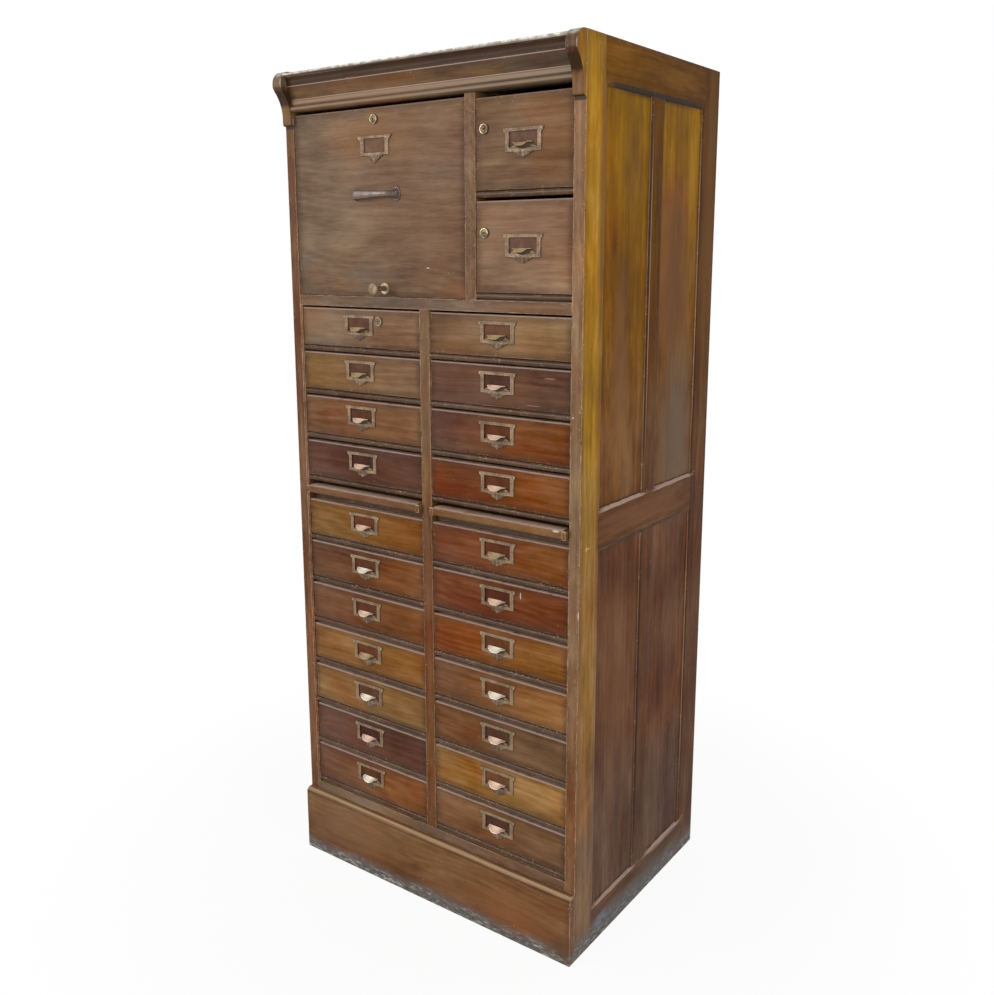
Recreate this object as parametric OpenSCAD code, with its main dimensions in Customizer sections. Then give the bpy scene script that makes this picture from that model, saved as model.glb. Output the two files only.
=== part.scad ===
// Archive cabinet in dark stained wood, made to stand alone on the floor.
// Below the middle rail: two columns of shallow drawers and two writing slides.
// Above it: one deep file drawer beside two smaller drawers, under a moulded cornice.
// The front looks along -Y, +X is on the right of someone facing it, and +Z is up.
// The origin is on the floor, in the middle of the space that the closed cabinet takes.

/* [Carcass] */
// Width over the two side frames
body_w = 760; // [700:2:830]
// Depth from the front of the stiles to the back
body_d = 562; // [510:2:620]
// Height to the top of the cornice brackets
body_h = 1834; // [1660:2:2000]
// Thickness of a side frame
side_t = 24; // [24:1:26]
// Thickness of the boards of the back frame
back_t = 20; // [18:1:24]
// Width of the front stile of a side, without its moulded edge
front_stile_w = 66; // [60:1:72]
// Width of the back stile of a side, without its moulded edge
back_stile_w = 70.5; // [64:0.5:76]
// Width of the upright between two side panels, without its moulded edges
muntin_w = 40; // [34:1:46]
// Height of the bottom rail of a side
side_bottom_rail_h = 82; // [76:1:90]
// Height of the lower edge of the cross rail of a side, at the drawn height
side_cross_rail_z = 879.5; // [860:0.5:900]
// Width of the cross rail of a side
side_cross_rail_w = 71.5; // [64:0.5:80]
// Height of the top rail of a side
side_top_rail_h = 77; // [70:1:92]
// Width of the moulded edge round each side panel
edge_w = 9; // [7:0.5:11]
// How far the moulded edge falls away before its last small step
edge_drop = 3; // [2:0.25:3.5]
// How far a side panel lies behind the face of its frame
panel_recess = 4; // [4:0.25:5]
// Thickness of a side panel
panel_t = 7; // [5:0.5:8]

/* [Base and cornice] */
// Height of the plinth board
plinth_h = 157; // [150:1:160]
// Thickness of the plinth board
plinth_t = 17.5; // [14:0.5:20]
// Height of the top of the bottom rail
bottom_rail_top = 177.5; // [176:0.5:178]
// Height of the cornice, from its lowest bead to the top of the brackets
cornice_h = 84; // [82:1:88]
// How far a cornice bracket stands out from the stile
bracket_reach = 34; // [30:1:38]
// How far the top board lies under the top of the brackets
top_drop = 6; // [4:1:10]
// Thickness of the top board
top_t = 20; // [18:1:22]
// How far the edge of the top board stands out from the stiles
top_reach = 27; // [24:1:30]

/* [Rails and dividers] */
// Height of the underside of the middle rail, at the drawn height
middle_rail_z = 1338; // [1334:0.5:1342]
// Height of the middle rail's own face
middle_rail_h = 23; // [22:0.5:23]
// Depth of the rails from front to back
rail_d = 40; // [38:1:60]
// Thickness of the two dividers
divider_t = 25; // [22:1:28]
// Middle of the lower divider, across the cabinet
lower_divider_x = 3; // [-10:0.5:10]
// Middle of the upper divider, across the cabinet
upper_divider_x = 123; // [110:0.5:130]
// Width of the packing strip beside the left column
packing_t = 6; // [5:0.5:8]
// Thickness of the bead rail under a shallow drawer
bead_h = 12.5; // [12:0.25:12.5]
// Width of a drawer runner
runner_w = 18; // [16:1:22]
// Height of the rail under the lower of the two right drawers
low_bead_h = 14; // [12:0.5:14]
// Height of the bead rail between the two right drawers, at the drawn height
mid_bead_z = 1555; // [1540:0.5:1570]

/* [Shallow drawers] */
// Top of the rail under each shallow drawer, from the top row down, at the drawn height
row_z = [1250.5, 1152, 1050, 949.5, 809, 707.5, 606, 503.5, 400, 296.5, 192.5];
// Gap over the front of each shallow drawer, from the top row down
row_gap = [4.5, 3, 4.5, 6, 3, 4, 5.5, 6, 5, 4, 3.5];
// Gap at each side of a drawer
side_gap = 1.5; // [1:0.25:2.5]
// Dark line between a front and the rail under it
front_lift = 1; // [0.5:0.25:1.5]
// How far the fronts lie behind the faces of the stiles
front_inset = 2; // [1:0.5:3]
// Thickness of a drawer front
front_t = 20; // [20:0.5:22]
// Thickness of the sides and the back of a drawer
box_t = 10; // [9:0.5:12]
// Thickness of a drawer bottom
bottom_t = 5; // [4:0.5:6]
// Space between the back of a drawer and the back of the cabinet
drawer_back_gap = 20; // [10:1:60]

/* [Upper drawers] */
// Gap over the file drawer's front
file_top_gap = 6.5; // [3:0.5:12]
// Gap over the front of the lower of the two right drawers
middle_top_gap = 6; // [3:0.5:10]
// Gap over the front of the upper of the two right drawers
upper_top_gap = 11.5; // [3:0.5:14]

/* [Writing slides] */
// Gap between the rail above and the nose of a writing slide
slide_gap = 9; // [8:0.5:10]
// Height of the nose of a writing slide
slide_nose_h = 19; // [18:0.5:20]
// Thickness of the frame of a writing slide
slide_t = 18; // [16:0.5:18]
// How far the nose stands out from the stiles
slide_reach = 10.5; // [8:0.5:12]
// Space between the back of a writing slide and the back of the cabinet
slide_back_gap = 52.5; // [30:0.5:110]
// Depth of the recess in front of the rail under a slide
slide_rail_inset = 14; // [10:1:18]

/* [Card pulls] */
// Width of the frame of a pull
pull_w = 80; // [76:1:84]
// Height of the frame of a pull
pull_h = 43; // [40:1:45]
// Width of its card window
window_w = 63; // [58:1:65]
// Height of its card window
window_h = 30; // [26:1:31]
// Width over the two flared top corners
flare_w = 92; // [88:1:94]
// Height of the pointed lower edge
point_h = 12.5; // [8:0.5:14]
// Thickness of the brass plate
plate_t = 2.2; // [1.5:0.1:3]
// Reach of the finger cup in front of the plate
cup_reach = 14.5; // [11:0.5:16]
// Distance from the top of a shallow front to the frame of its pull
pull_drop = 12.5; // [10:0.5:14]

/* [Locks] */
// Diameter of the turning plug
plug_d = 13; // [12:0.5:13]
// Radial clearance of the plug in its barrel
plug_clear = 0.06; // [0.04:0.01:0.1]
// Diameter of the bright ring round the plug
ring_d = 19.5; // [19:0.5:21]
// Throw of the bolt
throw = 10; // [8:0.5:10]
// Width of the lock case
case_w = 28; // [28:0.5:30]
// Distance from the lock to the top edge of the file drawer's front
file_lock_edge = 23.5; // [22:0.5:26]
// Distance from the lock to the top edge of the first left drawer's front
left_lock_edge = 24.5; // [22:0.5:26]
// Distance from a side lock to the edge of its drawer's front
side_lock_edge = 19.5; // [18.5:0.5:21]

/* [Handle and guide rod] */
// Distance between the two feet of the bar handle
handle_span = 110; // [100:1:120]
// Distance from the front to the middle of the bar
handle_reach = 21; // [19:0.5:24]
// Height of the bar's oval section
bar_h = 15; // [12:0.5:17]
// Depth of the bar's oval section
bar_d = 9; // [8:0.5:10]
// Diameter of the guide rod
rod_d = 6; // [5:0.5:7]
// Diameter of its knob
knob_d = 24; // [22:0.5:25]
// Reach of the knob in front of the drawer front
knob_reach = 42; // [38:0.5:46]

/* [Hidden] */
$fn = 48;
// Clearance between two glued pieces of one sub-part, so that they stay two pieces
glue = 0.1;
// Clearance between a piece and what carries it
seat = 0.3;

// How far a cut runs past a face
cut = 1;
// How far one shape of a piece reaches into the next
bite = 0.5;
// Height of the body at which the heights of the rails and rows are given
drawn_h = 1834;
// Faces of the finest round shapes
fine_fn = 96;

half_w = body_w / 2;
inner_x = half_w - side_t;
cornice_z = body_h - cornice_h;
front_y = front_inset;
front_back_y = front_y + front_t;
back_y = body_d - back_t;
drawer_back_y = back_y - drawer_back_gap;
drawer_l = drawer_back_y - front_y;
front_reach = knob_reach - front_inset;
y_shift = -(body_d - front_reach) / 2;
rows = len(row_z);
slide_row = 3;

// Openings of the columns, each from its left wall to its right wall
left_column = [-inner_x + packing_t, lower_divider_x - divider_t / 2];
right_column = [lower_divider_x + divider_t / 2, inner_x];
file_bay = [-inner_x, upper_divider_x - divider_t / 2];
right_bay = [upper_divider_x + divider_t / 2, inner_x];
columns = [left_column, right_column];

// Heights of the rails, which share out any change of the body's height
level_share = (cornice_z - bottom_rail_top) / (drawn_h - cornice_h - bottom_rail_top);
row_level = [for (z = row_z) level(z)];
middle_rail_low = level(middle_rail_z);
mid_bead_low = level(mid_bead_z);
cross_rail_low = level(side_cross_rail_z);
bottom_board_top = row_level[rows - 1] - bead_h;
shelf_z = middle_rail_low + middle_rail_h;
shelf_t = 16;
bottom_board_t = 16;
top_z = body_h - top_drop;
top_under = top_z - top_t;
slide_top = row_level[slide_row] - bead_h - slide_gap;
slide_z = slide_top - slide_nose_h;
slide_rail_h = 14;
middle_z = shelf_z + low_bead_h;
upper_z = mid_bead_low + bead_h;

// Heights of the fronts: what is left between two rails
row_roof = [for (i = [0:rows - 1])
    i == 0 ? middle_rail_low : i == slide_row + 1 ? slide_z - slide_rail_h : row_level[i - 1] - bead_h];
row_h = [for (i = [0:rows - 1]) row_roof[i] - row_level[i] - front_lift - row_gap[i]];
file_front_h = cornice_z - shelf_z - front_lift - file_top_gap;
middle_front_h = mid_bead_low - middle_z - front_lift - middle_top_gap;
upper_front_h = cornice_z - upper_z - front_lift - upper_top_gap;

// Moulded edge, tenons and grooves of the side frames
groove_d = 8;
panel_in_groove = 7;
tenon_l = 32;
tenon_t = 8;
tenon_out = 9;
tenon_shoulder = 12;
junction_y = [front_stile_w + edge_w, body_d - back_stile_w - edge_w];
muntin_y = (junction_y[0] + junction_y[1]) / 2;
muntin_half = muntin_w / 2 + edge_w;
cross_top_z = cross_rail_low + side_cross_rail_w;
top_rail_low = body_h - side_top_rail_h;

// Boards of the back frame
back_stile = 60;
back_rail = 76;
back_muntin = 50;
back_z = 60;
back_panel_t = 6;
back_cross_z = level(905);

// Joints of a drawer: tails at the front stop short of the face
lap = 7;
tail_slope = 2;
tail_h = 20;
tail_clear = 0.1;
groove_z = 7;
bottom_in = 4.5;
side_drop = 5;
back_drop = 10;
top_round = 2.5;
foot_round = 0.8;
shallow_tails = [0.36, 0.78];
box_tails = [0.2, 0.5, 0.84];
file_tail_count = 6;
file_tails = [for (i = [0:file_tail_count - 1]) (i + 0.5) / file_tail_count];

// Drawer stops that stand on the rails behind the fronts
stop_w = 24;
stop_d = 14;
stop_h = 5;

// Middle of each drawer and the places of the upper fittings
file_x = (file_bay[0] + file_bay[1]) / 2;
right_x = (right_bay[0] + right_bay[1]) / 2;
file_lock_z = shelf_z + front_lift + file_front_h - file_lock_edge;
side_lock_x = right_bay[0] + side_gap + side_lock_edge;
side_lock_rise = 113;
side_pull_rise = 110.5;
left_lock_z = row_level[0] + front_lift + row_h[0] - left_lock_edge;
handle_shift = 1.5;
handle_share = 0.5465;
handle_z = shelf_z + front_lift + handle_share * file_front_h;
rod_shift = 20.75;
rod_rise = 17;
rod_x = file_x + rod_shift;
rod_z = shelf_z + front_lift + rod_rise;
holder_w = 76;
holder_h = 39;
holder_window_w = 57;
holder_window_h = 28.5;
holder_flare_w = 97;
holder_point_h = 17;
holder_drop = 55.5;
holder_top = shelf_z + front_lift + file_front_h - holder_drop;

// Place of a card plate's screws, as a share of the flare of its top corners
screw_share = 0.3;

// Inside the locks, measured from the face of the drawer front
case_front = 11;
case_back = front_t;
case_wall = 1.6;
ring_proud = 3;
barrel_d = 17;
disc_d = 18;
disc_t = 1.6;
disc_gap = 0.8;
pin_d = 2.6;
pin_turn = 45;
pin_r = throw / (2 * sin(pin_turn));
pin_clear = 0.4;
bolt_t = 3.2;
bolt_front = case_front + case_wall + disc_t + disc_gap;
bolt_w = 14;
tail_w = 20;
bolt_gap = 0.2;
mortise_d = 10.5;
mortise_clear = 1;

// Colours as they look in daylight
front_brown = [0.36, 0.2, 0.13];
case_brown = [0.42, 0.26, 0.16];
rail_brown = [0.5, 0.33, 0.24];
panel_brown = [0.34, 0.2, 0.13];
honey = [0.6, 0.42, 0.2];
raw_wood = [0.62, 0.48, 0.32];
aged_brass = [0.62, 0.52, 0.34];
bright_brass = [0.85, 0.72, 0.42];
cast_grey = [0.5, 0.48, 0.48];
steel_grey = [0.62, 0.62, 0.64];
drawer_browns = [
    [0.42, 0.27, 0.19], [0.33, 0.2, 0.15], [0.4, 0.22, 0.13], [0.45, 0.27, 0.14], [0.44, 0.33, 0.18]
];

FIXED_NODES = [
    "left_side_frame", "right_side_frame", "side_panels", "back_frame", "back_panels", "top_board",
    "cornice_moulding", "cornice_brackets", "plinth_board", "bottom_rail", "bottom_board",
    "middle_rail", "middle_shelf", "upper_divider", "lower_divider", "packing_strip",
    "lower_drawer_rails", "upper_drawer_rails", "drawer_runners", "upper_runners"
];
MOVING_NODES = [
    "left_writing_slide", "right_writing_slide", "left_drawer_1_lock_plug", "left_drawer_1_lock_bolt",
    "file_drawer", "file_drawer_fittings", "file_drawer_handle", "file_drawer_guide_rod",
    "file_drawer_lock_plug", "file_drawer_lock_bolt",
    "upper_drawer", "upper_drawer_fittings", "upper_drawer_lock_plug", "upper_drawer_lock_bolt",
    "middle_drawer", "middle_drawer_fittings", "middle_drawer_lock_plug", "middle_drawer_lock_bolt"
];
LEFT_DRAWERS = [for (i = [1:rows]) str("left_drawer_", i)];
RIGHT_DRAWERS = [for (i = [1:rows]) str("right_drawer_", i)];

// Height of a rail of the drawn cabinet in one of this height, whose base and cornice stay as they are
function level(z) = bottom_rail_top + (z - bottom_rail_top) * level_share;

// Points of an arc from angle a0 to angle a1
function arc(centre, r, a0, a1, steps = 8) =
    [for (i = [0:steps]) let (a = a0 + (a1 - a0) * i / steps) centre + r * [cos(a), sin(a)]];

// Points of an ellipse
function oval(width, height, steps = 28) =
    [for (i = [0:steps - 1]) [width / 2 * cos(360 * i / steps), height / 2 * sin(360 * i / steps)]];

// Moves the cabinet so that its footprint is centred on the origin
module place() {
    translate([0, y_shift, 0]) children();
}

// A block between two opposite corners
module block(low, high) {
    translate(low) cube(high - low);
}

// Extrudes a section of Y and Z along the width
module along_x(x0, x1) {
    translate([x0, 0, 0]) rotate([90, 0, 90]) linear_extrude(x1 - x0) children();
}

// Extrudes a section of X and Z along the depth
module along_y(y0, y1) {
    translate([0, y1, 0]) rotate([90, 0, 0]) linear_extrude(y1 - y0) children();
}

// Extrudes a section of X and Y along the height
module along_z(z0, z1) {
    translate([0, 0, z0]) linear_extrude(z1 - z0) children();
}

// A cylinder along the depth
module rod_y(x, z, r, y0, y1) {
    translate([x, y1, z]) rotate([90, 0, 0]) cylinder(r = r, h = y1 - y0);
}

// Builds for the right side as drawn, or for the left side mirrored
module on_side(side) {
    mirror([side < 0 ? 1 : 0, 0, 0]) children();
}

// Section of a frame member, across its width w and its thickness, whose outer face is at x = half_w.
// Its low edge, its high edge or both carry the moulding; grow keeps a coped end clear of it.
function moulded_section(w0, w1, low, high, grow = 0) =
    let (
        face = half_w + grow,
        step = face - edge_drop,
        run = edge_w,
        low_edge = low
            ? [for (p = arc([0, 0], 1, 180, 90, 6)) [step + edge_drop * p[1], w0 - grow + run * p[0]]]
            : [[face, w0]],
        high_edge = high
            ? [for (p = arc([0, 0], 1, 90, 0, 6)) [step + edge_drop * p[1], w1 + grow + run * p[0]]]
            : [[face, w1]],
        low_end = low ? w0 - run - grow : w0,
        high_end = high ? w1 + run + grow : w1
    )
    concat([[inner_x - grow, low_end]], low_edge, high_edge, [[inner_x - grow, high_end]]);

// Upright member of a side frame
module side_upright(y0, y1, z0, z1, low, high, grow = 0) {
    along_z(z0, z1) polygon(moulded_section(y0, y1, low, high, grow));
}

// Level member of a side frame
module side_level(z0, z1, y0, y1, low, high, grow = 0) {
    translate([0, y1, 0]) rotate([90, 0, 0]) linear_extrude(y1 - y0)
        polygon(moulded_section(z0, z1, low, high, grow));
}

// The two outer uprights of a side frame
module side_stiles(grow = 0) {
    side_upright(0, front_stile_w, 0, body_h, false, true, grow);
    side_upright(body_d - back_stile_w, body_d, 0, body_h, true, false, grow);
}

// The three level members of a side frame between the arrises of the stiles
module side_rails(grow = 0) {
    y0 = front_stile_w;
    y1 = body_d - back_stile_w;
    side_level(0, side_bottom_rail_h, y0, y1, false, true, grow);
    side_level(cross_rail_low, cross_top_z, y0, y1, true, true, grow);
    side_level(top_rail_low, body_h, y0, y1, true, false, grow);
}

// The short uprights between the panels
module side_muntins() {
    y0 = muntin_y - muntin_w / 2;
    y1 = muntin_y + muntin_w / 2;
    side_upright(y0, y1, side_bottom_rail_h, cross_rail_low, true, true);
    side_upright(y0, y1, cross_top_z, top_rail_low, true, true);
}

// Tenons on the ends of the level members
module side_tenons(grow = 0) {
    x0 = half_w - tenon_out - tenon_t;
    lengths = [[junction_y[0] - tenon_l, junction_y[0] + cut], [junction_y[1] - cut, junction_y[1] + tenon_l]];
    spans = [
        [tenon_shoulder, side_bottom_rail_h - tenon_shoulder],
        [cross_rail_low, cross_top_z],
        [top_rail_low + tenon_shoulder, body_h - tenon_shoulder]
    ];
    for (span = spans)
        for (y = lengths)
            block([x0 - grow, y[0] - grow, span[0] - grow], [x0 + tenon_t + grow, y[1] + grow, span[1] + grow]);
}

// One side as a frame of boards; the level ends are coped over the moulded stiles
module side_frame(side) {
    on_side(side) difference() {
        union() {
            difference() {
                side_stiles();
                side_tenons(glue);
            }
            difference() {
                side_rails();
                side_stiles(glue);
            }
            side_tenons();
            difference() {
                side_muntins();
                side_rails(glue);
            }
        }
        panels_of_side(glue);
    }
}

// The four panels of one side, standing in the grooves of the frame
module panels_of_side(grow = 0) {
    x1 = half_w - panel_recess;
    y_spans = [[junction_y[0], muntin_y - muntin_half], [muntin_y + muntin_half, junction_y[1]]];
    z_spans = [
        [side_bottom_rail_h + edge_w, cross_rail_low - edge_w],
        [cross_top_z + edge_w, top_rail_low - edge_w]
    ];
    deep = panel_in_groove + (grow > 0 ? groove_d - panel_in_groove : 0);
    for (ys = y_spans, zs = z_spans)
        block([x1 - panel_t - grow, ys[0] - deep, zs[0] - deep], [x1 + grow, ys[1] + deep, zs[1] + deep]);
}

module left_side_frame() {
    color(case_brown) place() side_frame(-1);
}

module right_side_frame() {
    color(case_brown) place() side_frame(1);
}

module side_panels() {
    color(panel_brown) place() {
        on_side(-1) panels_of_side();
        on_side(1) panels_of_side();
    }
}

// Panels of the back, standing in the grooves of the back frame
module back_fields(grow = 0) {
    y0 = back_y + (back_t - back_panel_t) / 2;
    deep = panel_in_groove + (grow > 0 ? groove_d - panel_in_groove : 0);
    spans = [[back_z + back_rail, back_cross_z], [back_cross_z + back_rail, top_z - back_rail]];
    for (side = [-1, 1], zs = spans)
        on_side(side) block(
            [back_muntin / 2 - deep, y0 - grow, zs[0] - deep],
            [inner_x - back_stile + deep, y0 + back_panel_t + grow, zs[1] + deep]
        );
}

module back_frame() {
    stile_x = inner_x - back_stile;
    color(raw_wood) place() difference() {
        union() {
            for (side = [-1, 1])
                on_side(side) block([stile_x, back_y, back_z], [inner_x, body_d, top_z]);
            for (z = [back_z, back_cross_z, top_z - back_rail])
                block([-stile_x + glue, back_y, z], [stile_x - glue, body_d, z + back_rail]);
            for (zs = [[back_z + back_rail, back_cross_z], [back_cross_z + back_rail, top_z - back_rail]])
                block([-back_muntin / 2, back_y, zs[0] + glue], [back_muntin / 2, body_d, zs[1] - glue]);
        }
        back_fields(glue);
    }
}

module back_panels() {
    color(raw_wood) place() back_fields();
}

// Top board with a rounded nose over a hollow
module top_board() {
    nose_h = 7;
    nose_r = 2;
    step = 1;
    hollow_in = 10;
    lip_h = 4;
    hollow_r = top_t - nose_h - lip_h;
    profile = concat(
        [[back_y, top_under], [back_y, top_z]],
        arc([-top_reach + nose_r, top_z - nose_r], nose_r, 90, 180, 4),
        [[-top_reach, top_z - nose_h], [-top_reach + step, top_z - nose_h]],
        arc([-top_reach + step, top_z - nose_h - hollow_r], hollow_r, 90, 0, 8),
        [[-top_reach + hollow_in, top_under]]
    );
    color(case_brown) place() along_x(-inner_x, inner_x) polygon(profile);
}

// Sloping S-shaped fascia, flat band and bead under the top board
module cornice_moulding() {
    shoulder_y = -16;
    shoulder_h = 4;
    shoulder_step = 1;
    band_y = -3;
    band_h = 12;
    bead_r = 6;
    bead_in = 1;
    slope_rise = 25;
    bow = 1 / 18;
    steps = 12;
    slope_z = cornice_z + slope_rise;
    slope_h = top_under - shoulder_h - shoulder_step - slope_z;
    slope = [for (i = [0:steps]) let (t = i / steps)
        [shoulder_y + (band_y - shoulder_y) * (t - sin(360 * t) * bow), slope_z + slope_h * (1 - t)]];
    profile = concat(
        [[rail_d, cornice_z], [rail_d, top_under]],
        [[shoulder_y, top_under], [shoulder_y, top_under - shoulder_h]],
        slope,
        [[band_y, cornice_z + band_h]],
        arc([band_y + bead_in, cornice_z + bead_r], bead_r, 90, 270, 10)
    );
    color(case_brown) place() difference() {
        along_x(-inner_x, inner_x) polygon(profile);
        file_lock_mortise();
    }
}

// Brackets that carry the cornice round onto the stiles
module cornice_brackets() {
    foot_drop = 28;
    foot_y = -8;
    foot_r = 6;
    cove_r = 80;
    cove_a = 43;
    cove_rise = 16;
    nose_drop = 27;
    nose_r = 26.5;
    nose_turn = 87;
    lip_h = 7;
    foot_z = cornice_z - foot_drop;
    nose_z = body_h - nose_drop;
    profile = concat(
        [[-glue, foot_z], [-glue, body_h]],
        arc([-bracket_reach + nose_r, nose_z], nose_r, nose_turn, 180, 10),
        [[-bracket_reach, nose_z - lip_h]],
        arc([foot_y - cove_r, foot_z + cove_rise], cove_r, cove_a, 0, 10),
        arc([foot_y + foot_r, foot_z + foot_r], foot_r, 180, 270, 5)
    );
    color(case_brown) place()
        for (side = [-1, 1])
            on_side(side) along_x(inner_x, half_w) polygon(profile);
}

// Plinth board across both stiles, with a chamfered top edge
module plinth_board() {
    chamfer = 7;
    profile = [
        [0, 0], [0, plinth_h], [-plinth_t + chamfer, plinth_h], [-plinth_t, plinth_h - chamfer], [-plinth_t, 0]
    ];
    color(case_brown) place() along_x(-half_w, half_w) polygon(profile);
}

module bottom_rail() {
    rail_h = 50;
    color(rail_brown) place()
        block([-inner_x, 0, bottom_rail_top - rail_h], [inner_x, rail_d, bottom_rail_top]);
}

// Bottom board, with a thin lip over the bottom rail in each column
module bottom_board() {
    lip_y = 5;
    color(raw_wood) place() {
        block([-inner_x, rail_d, bottom_board_top - bottom_board_t], [inner_x, back_y, bottom_board_top]);
        for (column = columns)
            block([column[0], lip_y, bottom_rail_top], [column[1], rail_d + cut, bottom_board_top]);
    }
}

module middle_rail() {
    color(rail_brown) place() difference() {
        block([-inner_x, 0, middle_rail_low], [inner_x, rail_d, shelf_z]);
        left_lock_mortise();
    }
}

module middle_shelf() {
    color(raw_wood) place() block([-inner_x, rail_d, shelf_z - shelf_t], [inner_x, back_y, shelf_z]);
}

// Upright between the file drawer and the two right drawers
module upper_divider() {
    x0 = file_bay[1];
    profile = [
        [0, shelf_z], [back_y, shelf_z], [back_y, top_under],
        [rail_d, top_under], [rail_d, cornice_z], [0, cornice_z]
    ];
    color(rail_brown) place() difference() {
        along_x(x0, x0 + divider_t) polygon(profile);
        side_lock_mortise(upper_z);
        side_lock_mortise(middle_z);
    }
}

// Upright between the two columns of shallow drawers; it stands on the bottom rail and the bottom board
module lower_divider() {
    x0 = left_column[1];
    shelf_under = shelf_z - shelf_t;
    profile = [
        [0, bottom_rail_top], [rail_d, bottom_rail_top], [rail_d, bottom_board_top],
        [back_y, bottom_board_top], [back_y, shelf_under], [rail_d, shelf_under],
        [rail_d, middle_rail_low], [0, middle_rail_low]
    ];
    color(rail_brown) place() along_x(x0, x0 + divider_t) polygon(profile);
}

module packing_strip() {
    color(rail_brown) place()
        block([-inner_x, 0, bottom_rail_top], [-inner_x + packing_t, rail_d, middle_rail_low]);
}

// A rail with a half-round nose
module bead_rail(x0, x1, z0, z1) {
    r = bead_h / 2;
    profile = concat(
        [[rail_d, z0], [rail_d, z1], [r, z1]],
        arc([r, z1 - r], r, 90, 270, 12),
        [[r, z0]]
    );
    along_x(x0, x1) polygon(profile);
}

// Two stops behind a front, standing on the rail under the drawer
module drawer_stops(x0, x1, z) {
    inset = 70;
    for (x = [x0 + inset, x1 - inset - stop_w])
        block(
            [x, front_back_y + seat, z + glue],
            [x + stop_w, front_back_y + seat + stop_d, z + glue + stop_h]
        );
}

module lower_drawer_rails() {
    color(rail_brown) place()
        for (column = columns) {
            for (z = row_level) {
                bead_rail(column[0], column[1], z - bead_h, z);
                drawer_stops(column[0], column[1], z);
            }
            block(
                [column[0], slide_rail_inset, slide_z - slide_rail_h],
                [column[1], rail_d, slide_z - seat]
            );
        }
}

module upper_drawer_rails() {
    color(rail_brown) place() {
        bead_rail(right_bay[0], right_bay[1], shelf_z, middle_z);
        bead_rail(right_bay[0], right_bay[1], mid_bead_low, upper_z);
        drawer_stops(right_bay[0], right_bay[1], middle_z);
        drawer_stops(right_bay[0], right_bay[1], upper_z);
        drawer_stops(file_bay[0], file_bay[1], shelf_z);
    }
}

// Runners behind the bead rails; the left ones also guide, because no packing stands behind the strip
module drawer_runners() {
    guide_h = 18;
    levels = concat([for (z = row_level) [z - bead_h, z]], [[slide_z - slide_rail_h, slide_z - seat]]);
    color(raw_wood) place()
        for (level = levels) {
            block([left_column[1] - runner_w, rail_d, level[0]], [left_column[1], back_y, level[1]]);
            block([right_column[0], rail_d, level[0]], [right_column[0] + runner_w, back_y, level[1]]);
            block([right_column[1] - runner_w, rail_d, level[0]], [right_column[1], back_y, level[1]]);
            along_y(rail_d, back_y) polygon([
                [-inner_x, level[0]], [left_column[0] + runner_w, level[0]],
                [left_column[0] + runner_w, level[1]], [left_column[0], level[1]],
                [left_column[0], level[1] + guide_h], [-inner_x, level[1] + guide_h]
            ]);
        }
}

// Runners of the two right drawers, and the strips that keep the upper drawers from tipping
module upper_runners() {
    strip_h = 14;
    strip_gap = 4;
    file_top = shelf_z + front_lift + file_front_h;
    levels = [
        [right_bay, shelf_z, middle_z],
        [right_bay, mid_bead_low, upper_z],
        [right_bay, file_top + strip_gap, file_top + strip_gap + strip_h],
        [file_bay, file_top + strip_gap, file_top + strip_gap + strip_h]
    ];
    color(raw_wood) place()
        for (level = levels) {
            bay = level[0];
            block([bay[0], rail_d, level[1]], [bay[0] + runner_w, back_y, level[2]]);
            block([bay[1] - runner_w, rail_d, level[1]], [bay[1], back_y, level[2]]);
        }
}

// Section of a drawer front: rounded top edge, slightly eased lower edge
module front_section(z0, z1) {
    polygon(concat(
        [[front_back_y, z0], [front_back_y, z1]],
        arc([front_y + top_round, z1 - top_round], top_round, 90, 180, 6),
        arc([front_y + foot_round, z0 + foot_round], foot_round, 180, 270, 3)
    ));
}

// Tail of a dovetail in the Y-Z plane; it widens from y0 towards y1
module tail(y0, y1, z, clear) {
    narrow = tail_h / 2 - tail_slope + clear;
    wide = tail_h / 2 + clear;
    polygon([[y0, z - narrow], [y1, z - wide], [y1, z + wide], [y0, z + narrow]]);
}

// Tails of one drawer side at the front and at the back, or the sockets that take them
module tails(x0, x1, z, h, fractions, clear) {
    back_inner_y = drawer_back_y - box_t;
    along_x(x0, x1) for (f = fractions) {
        tail(front_back_y + cut, front_y + lap - clear, z + f * h, clear);
        tail(back_inner_y - cut, drawer_back_y + clear, z + f * h, clear);
    }
}

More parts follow.
